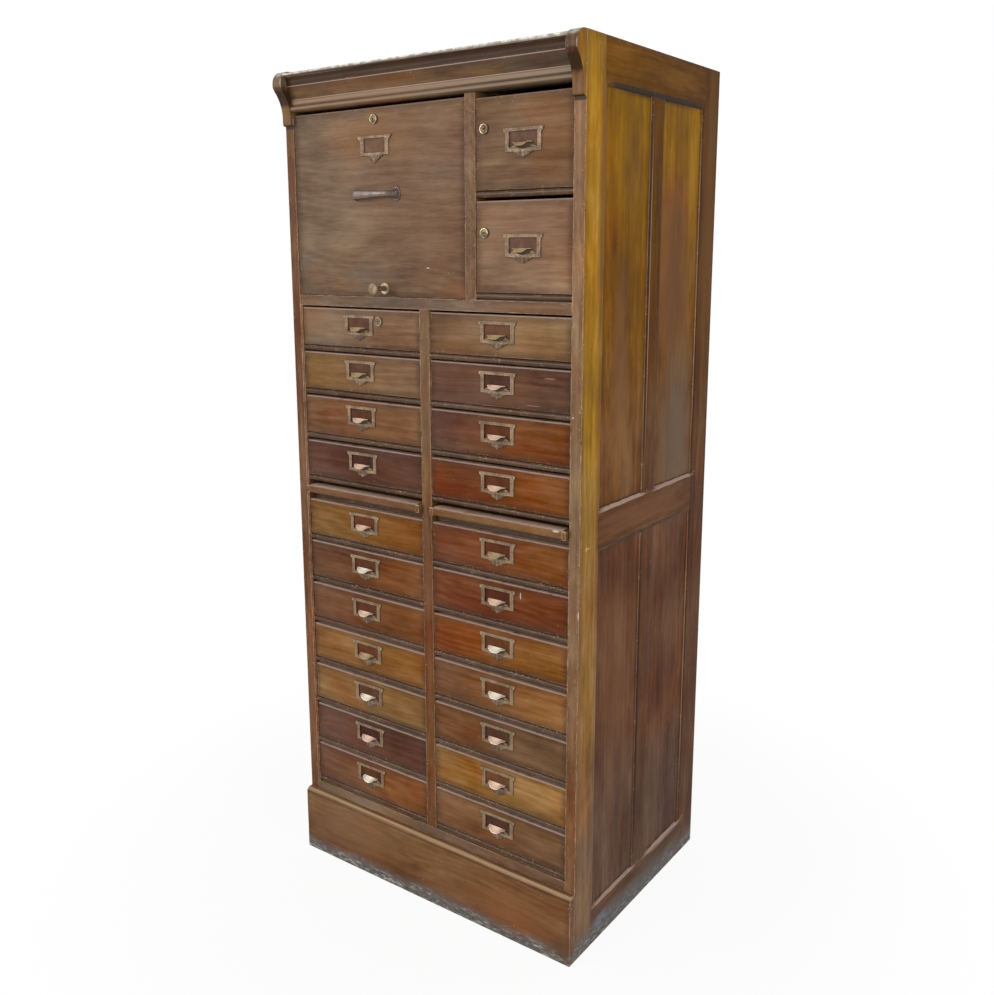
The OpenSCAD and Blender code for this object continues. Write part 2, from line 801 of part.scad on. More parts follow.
// The five wooden pieces of a drawer between x0 and x1, standing on a rail at z.
// h is the height of the front; fractions say where the tails lie up each side.
module drawer_box(x0, x1, z, h, fractions) {
    side_z = z + seat;
    side_top = z + front_lift + h - side_drop;
    side_h = side_top - side_z;
    floor_z = side_z + groove_z;
    back_top = side_top - back_drop;
    back_inner_y = drawer_back_y - box_t;
    back_fractions = [for (f = fractions) if (side_z + f * side_h + tail_h / 2 < back_top) f];

    module floor_board(grow = 0) {
        block(
            [x0 + box_t - bottom_in - grow, front_back_y - bottom_in - grow, floor_z - grow],
            [x1 - box_t + bottom_in + grow, drawer_back_y, floor_z + bottom_t + grow]
        );
    }

    module sockets() {
        for (x = [[x0 - cut, x0 + box_t + tail_clear], [x1 - box_t - tail_clear, x1 + cut]])
            tails(x[0], x[1], side_z, side_h, fractions, tail_clear);
    }

    difference() {
        along_x(x0, x1) front_section(z + front_lift, z + front_lift + h);
        sockets();
        floor_board(glue);
    }
    for (x = [x0, x1 - box_t])
        difference() {
            union() {
                block([x, front_back_y + glue, side_z], [x + box_t, back_inner_y - glue, side_top]);
                tails(x, x + box_t, side_z, side_h, back_fractions, 0);
                along_x(x, x + box_t) for (f = fractions)
                    tail(front_back_y + cut, front_y + lap, side_z + f * side_h, 0);
            }
            floor_board(glue);
        }
    difference() {
        block([x0, back_inner_y, floor_z + bottom_t + glue], [x1, drawer_back_y, back_top]);
        sockets();
    }
    floor_board();
}

// Brass card frame with flared top corners, a pointed lower edge and, where cup is true, a finger cup.
// x is its middle and z the top of its frame; the screws at the flared corners reach into the front.
module card_plate(x, z, w, h, win_w, win_h, flare, point, cup) {
    flare_rise = 16;
    flare_steps = 5;
    point_share = 0.54;
    back_face = front_y - glue / 2;
    face = back_face - plate_t;
    window_top = (h - win_h) / 2;
    half = w / 2;
    flare_out = flare / 2 - half;
    side_curve = [for (i = [0:flare_steps]) let (t = i / flare_steps)
        [half + flare_out * t * t, -flare_rise * (1 - t)]];
    right_flare = [for (i = [flare_steps:-1:0]) side_curve[i]];
    left_flare = [for (p = side_curve) [-p[0], p[1]]];
    outline = concat(
        right_flare,
        [[half, -h], [half * point_share, -h], [0, -h - point], [-half * point_share, -h], [-half, -h]],
        left_flare
    );
    translate([x, 0, z]) {
        difference() {
            along_y(face, back_face) polygon(outline);
            along_y(face - cut, back_face + cut)
                translate([-win_w / 2, -window_top - win_h]) square([win_w, win_h]);
        }
        plate_screws(screw_x(w, flare), 0);
        if (cup)
            finger_cup(face, -window_top - win_h, window_top + point);
    }
}

// How far the screws of a card plate are from its middle
function screw_x(w, flare) = w / 2 + (flare / 2 - w / 2) * screw_share;

// Two round-headed screws; grow makes the holes for their shanks
module plate_screws(offset_x, grow) {
    head_r = 1.8;
    head_t = 0.9;
    shank_r = 1;
    shank_l = 9;
    drop = 5;
    for (side = [-1, 1]) {
        rod_y(side * offset_x, -drop, shank_r + grow, front_y - plate_t, front_y + shank_l + grow);
        if (grow == 0)
            rod_y(side * offset_x, -drop, head_r, front_y - plate_t - head_t, front_y - plate_t);
    }
}

// Holes for the screws of a card plate
module plate_holes(x, z, w, flare) {
    translate([x, 0, z]) plate_screws(screw_x(w, flare), glue);
}

// Finger cup, open at the top: part of a conical shell that meets the plate along the pointed edge.
// z is the lower edge of the window and drop the distance from there down to the point.
module finger_cup(face, z, drop) {
    cup_t = 1.6;
    cup_half_w = 28.5;
    rim_rise = 11;
    axis_back = 35.5;
    h = drop + rim_rise;
    spread = cup_reach / h;
    front_outline = concat(
        [for (a = [0:15:180]) [cup_half_w * cos(a), z + rim_rise * sin(a)]],
        [[-cup_half_w, z - drop - cut], [cup_half_w, z - drop - cut]]
    );
    intersection() {
        translate([0, face + axis_back, z - drop]) difference() {
            cylinder(r1 = axis_back, r2 = axis_back + cup_reach, h = h, $fn = fine_fn);
            translate([0, 0, -cut]) cylinder(
                r1 = axis_back - cup_t - spread * cut,
                r2 = axis_back - cup_t + spread * (h + cut),
                h = h + 2 * cut, $fn = fine_fn
            );
        }
        along_y(face - cup_reach - cut, face + bite) polygon(front_outline);
    }
}

// Card pull of a shallow drawer
module shallow_pull(x, top) {
    card_plate(x, top - pull_drop, pull_w, pull_h, window_w, window_h, flare_w, point_h, true);
}

// The lock parts below are drawn for a bolt that rises along +Z, with the plug's axis at x = 0, z = 0
// and y = 0 on the face of the front. edge is the distance to the edge that the bolt leaves by.
module lock_case(edge) {
    cavity_w = case_w - 2 * case_wall;
    difference() {
        union() {
            block([-case_w / 2, case_front, -case_w / 2], [case_w / 2, case_back, edge]);
            rod_y(0, 0, barrel_d / 2, -ring_proud, case_front + bite);
            rod_y(0, 0, ring_d / 2, -ring_proud, -glue / 2);
        }
        block(
            [-cavity_w / 2, case_front + case_wall, -cavity_w / 2],
            [cavity_w / 2, case_back - case_wall / 2, edge - case_wall]
        );
        rod_y(0, 0, plug_d / 2 + plug_clear, -ring_proud - cut, case_front + case_wall + cut);
        block(
            [-bolt_w / 2 - bolt_gap, bolt_front - bolt_gap, edge - case_wall - cut],
            [bolt_w / 2 + bolt_gap, bolt_front + bolt_t + bolt_gap, edge + cut]
        );
    }
}

// Room for a lock in the front
module lock_recess(edge) {
    block(
        [-case_w / 2 - glue, case_front - glue, -case_w / 2 - glue],
        [case_w / 2 + glue, case_back + cut, edge + 2 * cut]
    );
    rod_y(0, 0, barrel_d / 2 + glue, -cut, case_front);
}

// Turning plug with its keyhole, cam disc and pin
module lock_plug() {
    slot_w = 1.4;
    slot_h = 5;
    key_r = 1.6;
    key_rise = 0.8;
    key_d = 6;
    face_y = -ring_proud - bite;
    disc_y = case_front + case_wall + bolt_gap;
    difference() {
        rod_y(0, 0, plug_d / 2, face_y, disc_y + disc_t / 2);
        rod_y(0, key_rise, key_r, face_y - cut, face_y + key_d);
        block([-slot_w / 2, face_y - cut, -slot_h], [slot_w / 2, face_y + key_d, 0]);
    }
    rod_y(0, 0, disc_d / 2, disc_y, disc_y + disc_t);
    rod_y(pin_r * cos(pin_turn), -pin_r * sin(pin_turn), pin_d / 2, disc_y, bolt_front + bolt_t - bolt_gap);
}

// Bolt drawn back, with the slot in which the pin slides
module lock_bolt(edge) {
    rim = 2.5;
    slot_h = pin_d + 2 * pin_clear;
    slot_x0 = pin_r * cos(pin_turn) - pin_d / 2 - pin_clear;
    slot_x1 = pin_r + pin_d / 2 + pin_clear;
    pin_z = -throw / 2;
    difference() {
        union() {
            block([-tail_w / 2, bolt_front, pin_z - slot_h / 2 - rim], [tail_w / 2, bolt_front + bolt_t, 0]);
            block([-bolt_w / 2, bolt_front, -cut], [bolt_w / 2, bolt_front + bolt_t, edge - bolt_gap]);
        }
        block(
            [slot_x0, bolt_front - cut, pin_z - slot_h / 2],
            [slot_x1, bolt_front + bolt_t + cut, pin_z + slot_h / 2]
        );
    }
}

// Mortise that takes the bolt beyond the edge of the front
module lock_mortise(edge, gap) {
    block(
        [-bolt_w / 2 - mortise_clear, bolt_front - mortise_clear, edge + gap - cut],
        [bolt_w / 2 + mortise_clear, bolt_front + bolt_t + mortise_clear, edge + mortise_d]
    );
}

// Places of the four locks: the lower one stands in line with the file drawer's, and a side lock throws
// its bolt to the left
module at_file_lock() {
    translate([file_x, front_y, file_lock_z]) children();
}

module at_left_lock() {
    translate([file_x, front_y, left_lock_z]) children();
}

module at_side_lock(z) {
    translate([side_lock_x, front_y, z + front_lift + side_lock_rise]) rotate([0, -90, 0]) children();
}

module file_lock_mortise() {
    at_file_lock() lock_mortise(file_lock_edge, cornice_z - file_lock_z - file_lock_edge);
}

module left_lock_mortise() {
    at_left_lock() lock_mortise(left_lock_edge, middle_rail_low - left_lock_z - left_lock_edge);
}

module side_lock_mortise(z) {
    at_side_lock(z) lock_mortise(side_lock_edge, side_gap);
}

// One shallow drawer of a column
module shallow_drawer(column, row) {
    x0 = column[0] + side_gap;
    x1 = column[1] - side_gap;
    x = (x0 + x1) / 2;
    z = row_level[row];
    h = row_h[row];
    top = z + front_lift + h;
    with_lock = row == 0 && column[0] < 0;
    color(drawer_browns[row % len(drawer_browns)]) place() {
        difference() {
            drawer_box(x0, x1, z, h, shallow_tails);
            plate_holes(x, top - pull_drop, pull_w, flare_w);
            if (with_lock)
                at_left_lock() lock_recess(left_lock_edge);
        }
        shallow_pull(x, top);
        if (with_lock)
            at_left_lock() lock_case(left_lock_edge);
    }
}

module left_drawer_1_lock_plug() {
    color(bright_brass) place() at_left_lock() lock_plug();
}

module left_drawer_1_lock_bolt() {
    color(steel_grey) place() at_left_lock() lock_bolt(left_lock_edge);
}

// Deep drawer for files, with holes for its guide rod
module file_drawer() {
    color(front_brown) place() difference() {
        drawer_box(file_bay[0] + side_gap, file_bay[1] - side_gap, shelf_z, file_front_h, file_tails);
        plate_holes(file_x, holder_top, holder_w, holder_flare_w);
        at_file_lock() lock_recess(file_lock_edge);
        rod_y(rod_x, rod_z, rod_d / 2 + seat, 0, drawer_back_y + cut);
    }
}

// Card holder, lock case and the collar of the guide rod
module file_drawer_fittings() {
    collar_d = 23;
    collar_t = 3;
    color(aged_brass) place() {
        card_plate(
            file_x, holder_top, holder_w, holder_h, holder_window_w, holder_window_h,
            holder_flare_w, holder_point_h, false
        );
        at_file_lock() lock_case(file_lock_edge);
        difference() {
            rod_y(rod_x, rod_z, collar_d / 2, front_y - collar_t, front_y - glue / 2);
            rod_y(rod_x, rod_z, rod_d / 2 + plug_clear, front_y - collar_t - cut, front_y + cut);
        }
    }
}

// Cast bar handle: two feet, two bends and the bar, all of one oval section
module file_drawer_handle() {
    foot_w = 20;
    foot_h = 28;
    foot_t = 3;
    bend_r = 17;
    screw_r = 2.6;
    screw_in = 3.5;
    post_l = handle_reach - bend_r;
    half = handle_span / 2;
    color(cast_grey) place() translate([file_x + handle_shift, front_y, handle_z]) {
        for (side = [-1, 1])
            on_side(side) {
                block([half - foot_w / 2, -foot_t, -foot_h / 2], [half + foot_w / 2, 0, foot_h / 2]);
                along_y(-post_l, -foot_t / 2) translate([half, 0]) polygon(oval(bar_d, bar_h));
                translate([half - bend_r, -post_l, 0]) rotate([0, 0, -90]) rotate_extrude(angle = 90)
                    translate([bend_r, 0]) polygon(oval(bar_d, bar_h));
                for (z = [-1, 1])
                    rod_y(half, z * (foot_h / 2 - screw_in), screw_r, -foot_t - cut, -foot_t);
            }
        along_x(-half + bend_r, half - bend_r) translate([-handle_reach, 0]) polygon(oval(bar_d, bar_h));
    }
}

// Guide rod that carries the follower inside the file drawer, with its knob
module file_drawer_guide_rod() {
    r = rod_d / 2;
    knob_r = knob_d / 2;
    knob_t = 7;
    front_r = 3;
    rear_r = 2;
    neck_r = 4.5;
    neck_l = 3;
    shoulder = 6;
    tail_l = drawer_l - box_t / 2;
    neck_z = knob_reach - knob_t - neck_l;
    profile = concat(
        [[0, knob_reach]],
        arc([knob_r - front_r, knob_reach - front_r], front_r, 90, 0, 5),
        arc([knob_r - rear_r, knob_reach - knob_t + rear_r], rear_r, 0, -90, 4),
        [[neck_r, neck_z], [neck_r, shoulder], [r, shoulder], [r, -tail_l], [0, -tail_l]]
    );
    color(aged_brass) place() translate([rod_x, front_y, rod_z]) rotate([90, 0, 0])
        rotate_extrude() polygon(profile);
}

module file_drawer_lock_plug() {
    color(bright_brass) place() at_file_lock() lock_plug();
}

module file_drawer_lock_bolt() {
    color(steel_grey) place() at_file_lock() lock_bolt(file_lock_edge);
}

// One of the two drawers in the right bay
module bay_drawer(z, h) {
    color(front_brown) place() difference() {
        drawer_box(right_bay[0] + side_gap, right_bay[1] - side_gap, z, h, box_tails);
        plate_holes(right_x, z + front_lift + side_pull_rise, pull_w, flare_w);
        at_side_lock(z) lock_recess(side_lock_edge);
    }
}

// Card pull and lock case of a drawer in the right bay
module bay_fittings(z) {
    color(aged_brass) place() {
        card_plate(
            right_x, z + front_lift + side_pull_rise, pull_w, pull_h, window_w, window_h, flare_w, point_h, true
        );
        at_side_lock(z) lock_case(side_lock_edge);
    }
}

module upper_drawer() {
    bay_drawer(upper_z, upper_front_h);
}

module upper_drawer_fittings() {
    bay_fittings(upper_z);
}

module upper_drawer_lock_plug() {
    color(bright_brass) place() at_side_lock(upper_z) lock_plug();
}

module upper_drawer_lock_bolt() {
    color(steel_grey) place() at_side_lock(upper_z) lock_bolt(side_lock_edge);
}

module middle_drawer() {
    bay_drawer(middle_z, middle_front_h);
}

module middle_drawer_fittings() {
    bay_fittings(middle_z);
}

module middle_drawer_lock_plug() {
    color(bright_brass) place() at_side_lock(middle_z) lock_plug();
}

module middle_drawer_lock_bolt() {
    color(steel_grey) place() at_side_lock(middle_z) lock_bolt(side_lock_edge);
}

// Writing slide: a panel in a frame, with a rounded nose across the front
module writing_slide(column) {
    gap = 2;
    batten_w = 9;
    panel_h = 10;
    tongue = 5;
    back_batten = 40;
    nose_back = 16;
    nose_flat = 4;
    panel_rise = 3;
    end_step = 1;
    x0 = column[0] + gap;
    x1 = column[1] - gap;
    y1 = back_y - slide_back_gap;
    r = (slide_nose_h - nose_flat) / 2;
    z1 = slide_z + slide_t;

    module field(grow = 0) {
        mid = slide_z + slide_t / 2 + panel_rise;
        block(
            [x0 + batten_w - tongue - grow, nose_back - tongue - grow, mid - panel_h / 2 - grow],
            [x1 - batten_w + tongue + grow, y1 - back_batten + tongue + grow, mid + panel_h / 2 + grow]
        );
    }

    color(honey) place() {
        difference() {
            union() {
                for (x = [x0, x1 - batten_w])
                    block([x, -slide_reach + end_step, slide_z], [x + batten_w, y1, z1]);
                block([x0 + batten_w + glue, y1 - back_batten, slide_z], [x1 - batten_w - glue, y1, z1]);
                along_x(x0 + batten_w + glue, x1 - batten_w - glue) polygon(concat(
                    [[nose_back, slide_z], [nose_back, slide_top]],
                    arc([-slide_reach + r, slide_top - r], r, 90, 180, 8),
                    arc([-slide_reach + r, slide_z + r], r, 180, 270, 8)
                ));
            }
            field(glue);
        }
        field();
    }
}

module left_writing_slide() {
    writing_slide(left_column);
}

module right_writing_slide() {
    writing_slide(right_column);
}

left_side_frame();
right_side_frame();
side_panels();
back_frame();
back_panels();
top_board();
cornice_moulding();
cornice_brackets();
plinth_board();
bottom_rail();
bottom_board();
middle_rail();
middle_shelf();
upper_divider();
lower_divider();
packing_strip();
lower_drawer_rails();
upper_drawer_rails();
drawer_runners();
upper_runners();
left_writing_slide();
right_writing_slide();
left_drawer_1_lock_plug();
left_drawer_1_lock_bolt();
file_drawer();
file_drawer_fittings();
file_drawer_handle();
file_drawer_guide_rod();
file_drawer_lock_plug();
file_drawer_lock_bolt();
upper_drawer();
upper_drawer_fittings();
upper_drawer_lock_plug();
upper_drawer_lock_bolt();
middle_drawer();
middle_drawer_fittings();
middle_drawer_lock_plug();
middle_drawer_lock_bolt();
for (i = [0:rows - 1]) {
    shallow_drawer(left_column, i);
    shallow_drawer(right_column, i);
}
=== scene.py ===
"""Archive cabinet in dark stained wood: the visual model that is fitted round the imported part.

Lengths are metres in the frame of the part: the front looks along -Y, +X is on the right of someone
facing it, +Z is up, and the origin is on the floor in the middle of the closed cabinet.
"""

import logging
import math
from dataclasses import dataclass, field
from enum import Enum
from typing import Any, Callable, Iterable, Mapping, Sequence, Union

import bmesh
import bpy
from mathutils import Matrix, Vector


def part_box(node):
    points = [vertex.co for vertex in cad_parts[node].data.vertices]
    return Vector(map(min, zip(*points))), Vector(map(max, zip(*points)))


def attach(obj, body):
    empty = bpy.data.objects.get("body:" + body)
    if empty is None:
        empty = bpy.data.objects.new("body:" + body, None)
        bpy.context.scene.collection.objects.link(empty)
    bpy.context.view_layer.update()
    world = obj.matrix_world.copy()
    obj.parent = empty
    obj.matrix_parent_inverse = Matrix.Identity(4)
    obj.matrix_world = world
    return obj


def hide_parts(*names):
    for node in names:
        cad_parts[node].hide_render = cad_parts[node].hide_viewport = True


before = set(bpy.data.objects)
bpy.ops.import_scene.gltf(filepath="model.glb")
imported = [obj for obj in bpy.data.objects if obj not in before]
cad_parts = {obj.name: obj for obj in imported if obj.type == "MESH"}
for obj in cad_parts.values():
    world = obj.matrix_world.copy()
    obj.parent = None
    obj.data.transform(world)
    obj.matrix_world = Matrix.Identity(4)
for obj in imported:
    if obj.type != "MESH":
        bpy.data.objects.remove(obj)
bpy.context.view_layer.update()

LOG = logging.getLogger("archive_cabinet")
CABINET = "cabinet"
FRONT_PLANE = -0.261  # face of the stiles
DRAWER_FACE = -0.259  # face of the drawer fronts
MOULDING_FACE = -0.265  # about the face of the cornice moulding
PLINTH_FACE = -0.2785
SIDE_FACE = 0.38  # outer face of the right side's frame
PANEL_FACE = 0.376  # about the outer face of the right side's panels
BRACKETS_X = (0.368, -0.368)  # middles of the cornice brackets

WELD_CAD = 2e-5  # points of a CAD mesh nearer than this become one
WELD_GROWN = 1e-5  # the same for a mesh from Geometry Nodes
FLAT_ANGLE = 0.008  # faces that turn less than this, in radians, become one
FLUSH = 1e-4  # a point this near to a plane lies on it
SHORTEST_EASED = 0.003  # shorter edges stay sharp
SHARP_ANGLE = math.radians(35)  # edges that turn more are arrises
LOOKS_ALONG = 0.6  # share of its normal from which a face looks along an axis
LOCK_WIDTH = 0.04  # foremost solids of a drawer narrower than this are its lock's
FRONT_WIDTH = 0.15  # wider than this is its front
PLATE_WIDTH = 0.05  # fittings wider than this are card plates
NOSING_DEPTH = 0.06  # a writing slide's foremost board is its nosing if it is less deep

WHITE = (1.0, 1.0, 1.0, 1.0)

Colour = tuple[float, float, float]
Place = tuple[float, float, float]
Pair = tuple[float, float]
Material = bpy.types.Material


def linear(red: int, green: int, blue: int) -> Colour:
    """Scene-linear colour of a display colour with channels from 0 to 255."""
    channels = (c / 255 for c in (red, green, blue))
    return tuple(c / 12.92 if c <= 0.04045 else ((c + 0.055) / 1.055) ** 2.4 for c in channels)


# ---------------------------------------------------------------------------------------------
# Node trees written as expressions
# ---------------------------------------------------------------------------------------------


class Wire:
    """One output socket of a node; arithmetic on it adds Math nodes to its tree."""

    def __init__(self, tree: "Tree", socket: bpy.types.NodeSocket) -> None:
        """Keeps the socket and the tree that it belongs to."""
        self.tree = tree
        self.socket = socket

    def math(self, operation: str, *others: "Operand", clamp: bool = False) -> "Wire":
        """Result of a Math node whose first input is this wire.

        Args:
            operation: the Math node's operation.
            others: its further inputs.
            clamp: whether the result is kept between 0 and 1.

        Returns:
            The node's output.
        """
        settings = {"operation": operation, "use_clamp": clamp}
        return self.tree.node("ShaderNodeMath", settings, dict(enumerate((self, *others))))

    def __add__(self, other: "Operand") -> "Wire":
        """This wire plus another value."""
        return self.math("ADD", other)

    def __radd__(self, other: "Operand") -> "Wire":
        """Another value plus this wire."""
        return self.math("ADD", other)

    def __mul__(self, other: "Operand") -> "Wire":
        """This wire times another value."""
        return self.math("MULTIPLY", other)

    def __rmul__(self, other: "Operand") -> "Wire":
        """Another value times this wire."""
        return self.math("MULTIPLY", other)

    def __sub__(self, other: "Operand") -> "Wire":
        """This wire less another value."""
        return self.math("SUBTRACT", other)

    def __rsub__(self, other: float) -> "Wire":
        """A number less this wire."""
        return self.tree.node("ShaderNodeMath", {"operation": "SUBTRACT"}, {0: other, 1: self})

    def __truediv__(self, other: "Operand") -> "Wire":
        """This wire divided by another value."""
        return self.math("DIVIDE", other)

    def __pow__(self, other: "Operand") -> "Wire":
        """This wire raised to a power."""
        return self.math("POWER", other)

    def lowest(self, other: "Operand") -> "Wire":
        """The smaller of the two values."""
        return self.math("MINIMUM", other)

    def highest(self, other: "Operand") -> "Wire":
        """The larger of the two values."""
        return self.math("MAXIMUM", other)

    def clamped(self) -> "Wire":
        """The value kept between 0 and 1."""
        return self.math("ADD", 0.0, clamp=True)

    def ramp(self, start: "Operand", end: "Operand") -> "Wire":
        """Smooth step that is 0 at start and 1 at end; start may be the larger of the two."""
        return self.tree.node(
            "ShaderNodeMapRange", {"interpolation_type": "SMOOTHSTEP"},
            {"Value": self, "From Min": start, "From Max": end},
        )

    def parts(self) -> tuple["Wire", "Wire", "Wire"]:
        """The three components of a vector."""
        split = self.tree.raw("ShaderNodeSeparateXYZ", {}, {0: self})
        return tuple(Wire(self.tree, split.outputs[i]) for i in range(3))

    def scaled(self, x: float, y: float, z: float) -> "Wire":
        """A vector multiplied component by component."""
        return self.tree.node("ShaderNodeVectorMath", {"operation": "MULTIPLY"}, {0: self, 1: (x, y, z)})

    def moved(self, x: float, y: float, z: float) -> "Wire":
        """A vector with an offset added."""
        return self.tree.node("ShaderNodeVectorMath", {"operation": "ADD"}, {0: self, 1: (x, y, z)})


Operand = Union[Wire, float, int]
Input = Union[Wire, float, int, tuple, bpy.types.ID, str, bool]


class Tree:
    """A node tree in which every node is made by one method."""

    def __init__(self, tree: bpy.types.NodeTree) -> None:
        """Keeps the Blender tree, which is emptied first."""
        self.tree = tree
        tree.nodes.clear()

    def raw(
        self, kind: str, settings: Mapping[str, Any], inputs: Mapping[Union[str, int], Input]
    ) -> bpy.types.Node:
        """Adds a node.

        Args:
            kind: the node's Blender type.
            settings: its properties.
            inputs: values or wires by socket index, identifier or name.

        Returns:
            The node.
        """
        made = self.tree.nodes.new(kind)
        for name, value in settings.items():
            setattr(made, name, value)
        for key, value in inputs.items():
            socket = self._socket(made.inputs, key)
            if isinstance(value, Wire):
                self.tree.links.new(value.socket, socket)
            else:
                socket.default_value = value
        return made

    def node(
        self, kind: str, settings: Mapping[str, Any], inputs: Mapping[Union[str, int], Input],
        output: Union[str, int] = 0,
    ) -> Wire:
        """Adds a node as raw() does and returns one of its outputs as a wire."""
        made = self.raw(kind, settings, inputs)
        return Wire(self, self._socket(made.outputs, output))

    @staticmethod
    def _socket(sockets: Any, key: Union[str, int]) -> bpy.types.NodeSocket:
        """The socket with that index, identifier or name."""
        if isinstance(key, int):
            return sockets[key]
        for socket in sockets:
            if socket.identifier == key:
                return socket
        return sockets[key]

    def combined(self, x: Operand, y: Operand, z: Operand) -> Wire:
        """A vector of three components."""
        return self.node("ShaderNodeCombineXYZ", {}, {"X": x, "Y": y, "Z": z})

    def noise(self, vector: Wire, scale: float, detail: float = 2.0, rough: float = 0.5) -> Wire:
        """Noise from 0 to 1 at a scale in cells a metre."""
        inputs = {"Vector": vector, "Scale": scale, "Detail": detail, "Roughness": rough}
        return self.node("ShaderNodeTexNoise", {"noise_dimensions": "3D"}, inputs)

    def mix(
        self, factor: Operand, a: Union[Wire, Colour], b: Union[Wire, Colour], blend: str = "MIX"
    ) -> Wire:
        """Two colours mixed by a factor.

        Args:
            factor: 0 for the first colour, 1 for the second.
            a: the first colour.
            b: the second colour.
            blend: the way in which they are mixed.

        Returns:
            The mixed colour.
        """
        colours = {k: v if isinstance(v, Wire) else (*v, 1.0) for k, v in (("A_Color", a), ("B_Color", b))}
        settings = {"data_type": "RGBA", "blend_type": blend, "clamp_factor": True}
        return self.node("ShaderNodeMix", settings, {"Factor_Float": factor, **colours}, "Result_Color")

    def object_place(self) -> Wire:
        """Object coordinates, which are the frame's own metres on every piece."""
        return self.node("ShaderNodeTexCoord", {}, {}, "Object")

    def attribute(self, name: str, output: str = "Vector") -> Wire:
        """A named attribute of the mesh."""
        return self.node("ShaderNodeAttribute", {"attribute_name": name}, {}, output)

    def bump(self, height: Wire, distance: float, strength: float = 1.0) -> Wire:
        """A bump from a height; distance is in metres for a height of 1."""
        return self.node("ShaderNodeBump", {}, {"Height": height, "Distance": distance, "Strength": strength})


def shader_tree(name: str) -> tuple[Material, Tree]:
    """A new material and its emptied node tree."""
    material = bpy.data.materials.new(name)
    material.use_nodes = True
    return material, Tree(material.node_tree)


def finish_surface(tree: Tree, inputs: Mapping[str, Input]) -> None:
    """Ends a material in one Principled shader with these inputs."""
    shader = tree.node("ShaderNodeBsdfPrincipled", {}, inputs)
    tree.raw("ShaderNodeOutputMaterial", {}, {"Surface": shader})


# ---------------------------------------------------------------------------------------------
# Finishes
# ---------------------------------------------------------------------------------------------


class Axis(Enum):
    """One axis of the frame."""

    X = 0
    Y = 1
    Z = 2


class Tone(Enum):
    """The tones that stain, varnish and light have left on the wood; some of them also paint shade and
    highlights on it.
    """

    GREIGE = linear(136, 113, 92)
    SAND = linear(133, 101, 77)
    RUST = linear(119, 76, 47)
    DUSK = linear(105, 74, 57)
    TAN = linear(142, 108, 76)
    TOBACCO = linear(99, 66, 28)
    ROSE_GREY = linear(188, 160, 146)
    UMBER = linear(124, 94, 69)
    COCOA = linear(116, 80, 54)
    PLUM = linear(93, 60, 46)
    RUSSET = linear(108, 58, 33)
    COPPER = linear(122, 73, 40)
    AMBER = linear(131, 86, 48)
    OLIVE = linear(126, 92, 57)
    HONEY = linear(140, 102, 60)
    MOSS = linear(108, 78, 54)
    OCHRE = linear(166, 121, 38)
    KHAKI = linear(140, 98, 26)
    BRONZE = linear(121, 80, 32)
    SLATE = linear(103, 88, 73)
    UMBRA = linear(84, 56, 34)
    SIENNA = linear(103, 68, 48)
    MAUVE = linear(98, 78, 66)
    DUST = linear(196, 190, 178)
    SCUFF = linear(150, 150, 146)
    # Nearly black: filled pores and grime, and also painted shade under rails, beside moulded edges and along
    # arrises.
    SKY = linear(120, 132, 146)
    SOOT_AND_SHADE = linear(46, 38, 34)
    BARE = linear(190, 142, 92)
    CHIP = linear(190, 160, 124)
    CHALK = linear(238, 232, 216)
    PITCH = linear(54, 40, 28)
    GRIME = linear(92, 90, 88)
    PINK = linear(206, 160, 130)
    DEAL = linear(178, 138, 92)
    LATH = linear(150, 112, 72)


WARM = (1.16, 0.94, 0.74)  # shares of the channels where the stain has drifted warm
COOL = (0.80, 0.86, 1.0)  # and where it has drifted cool


class LipSheen(Enum):
    """How bright the finger lip of a pull is painted: lit and shaded copies of one polished brass, whose
    reflection of the light is painted into the colour.
    """

    CREAM = linear(255, 244, 222)
    BLUSH = linear(244, 208, 182)
    DIM = linear(190, 164, 122)


def shaded(tone: Tone, shares: Colour) -> Colour:
    """A tone with each channel multiplied by its share."""
    return tuple(channel * share for channel, share in zip(tone.value, shares))


@dataclass(frozen=True)
class Wash:
    """A tone that sets in between two places along an axis, with a ragged border."""

    tone: Tone
    axis: Axis
    start: float
    end: float
    amount: float = 1.0
    ragged: float = 0.25


@dataclass(frozen=True)
class Patch:
    """A tone inside an oval or boxed patch, ragged where it thins out.

    The tone is full out to core, a share of the radii. If flecks is more than 0, the patch breaks up into
    specks at that scale, in cells a metre.
    """

    tone: Tone
    centre: Place
    radii: Place
    amount: float = 0.8
    ragged: float = 0.5
    core: float = 0.55
    boxed: bool = False
    flecks: float = 0.0


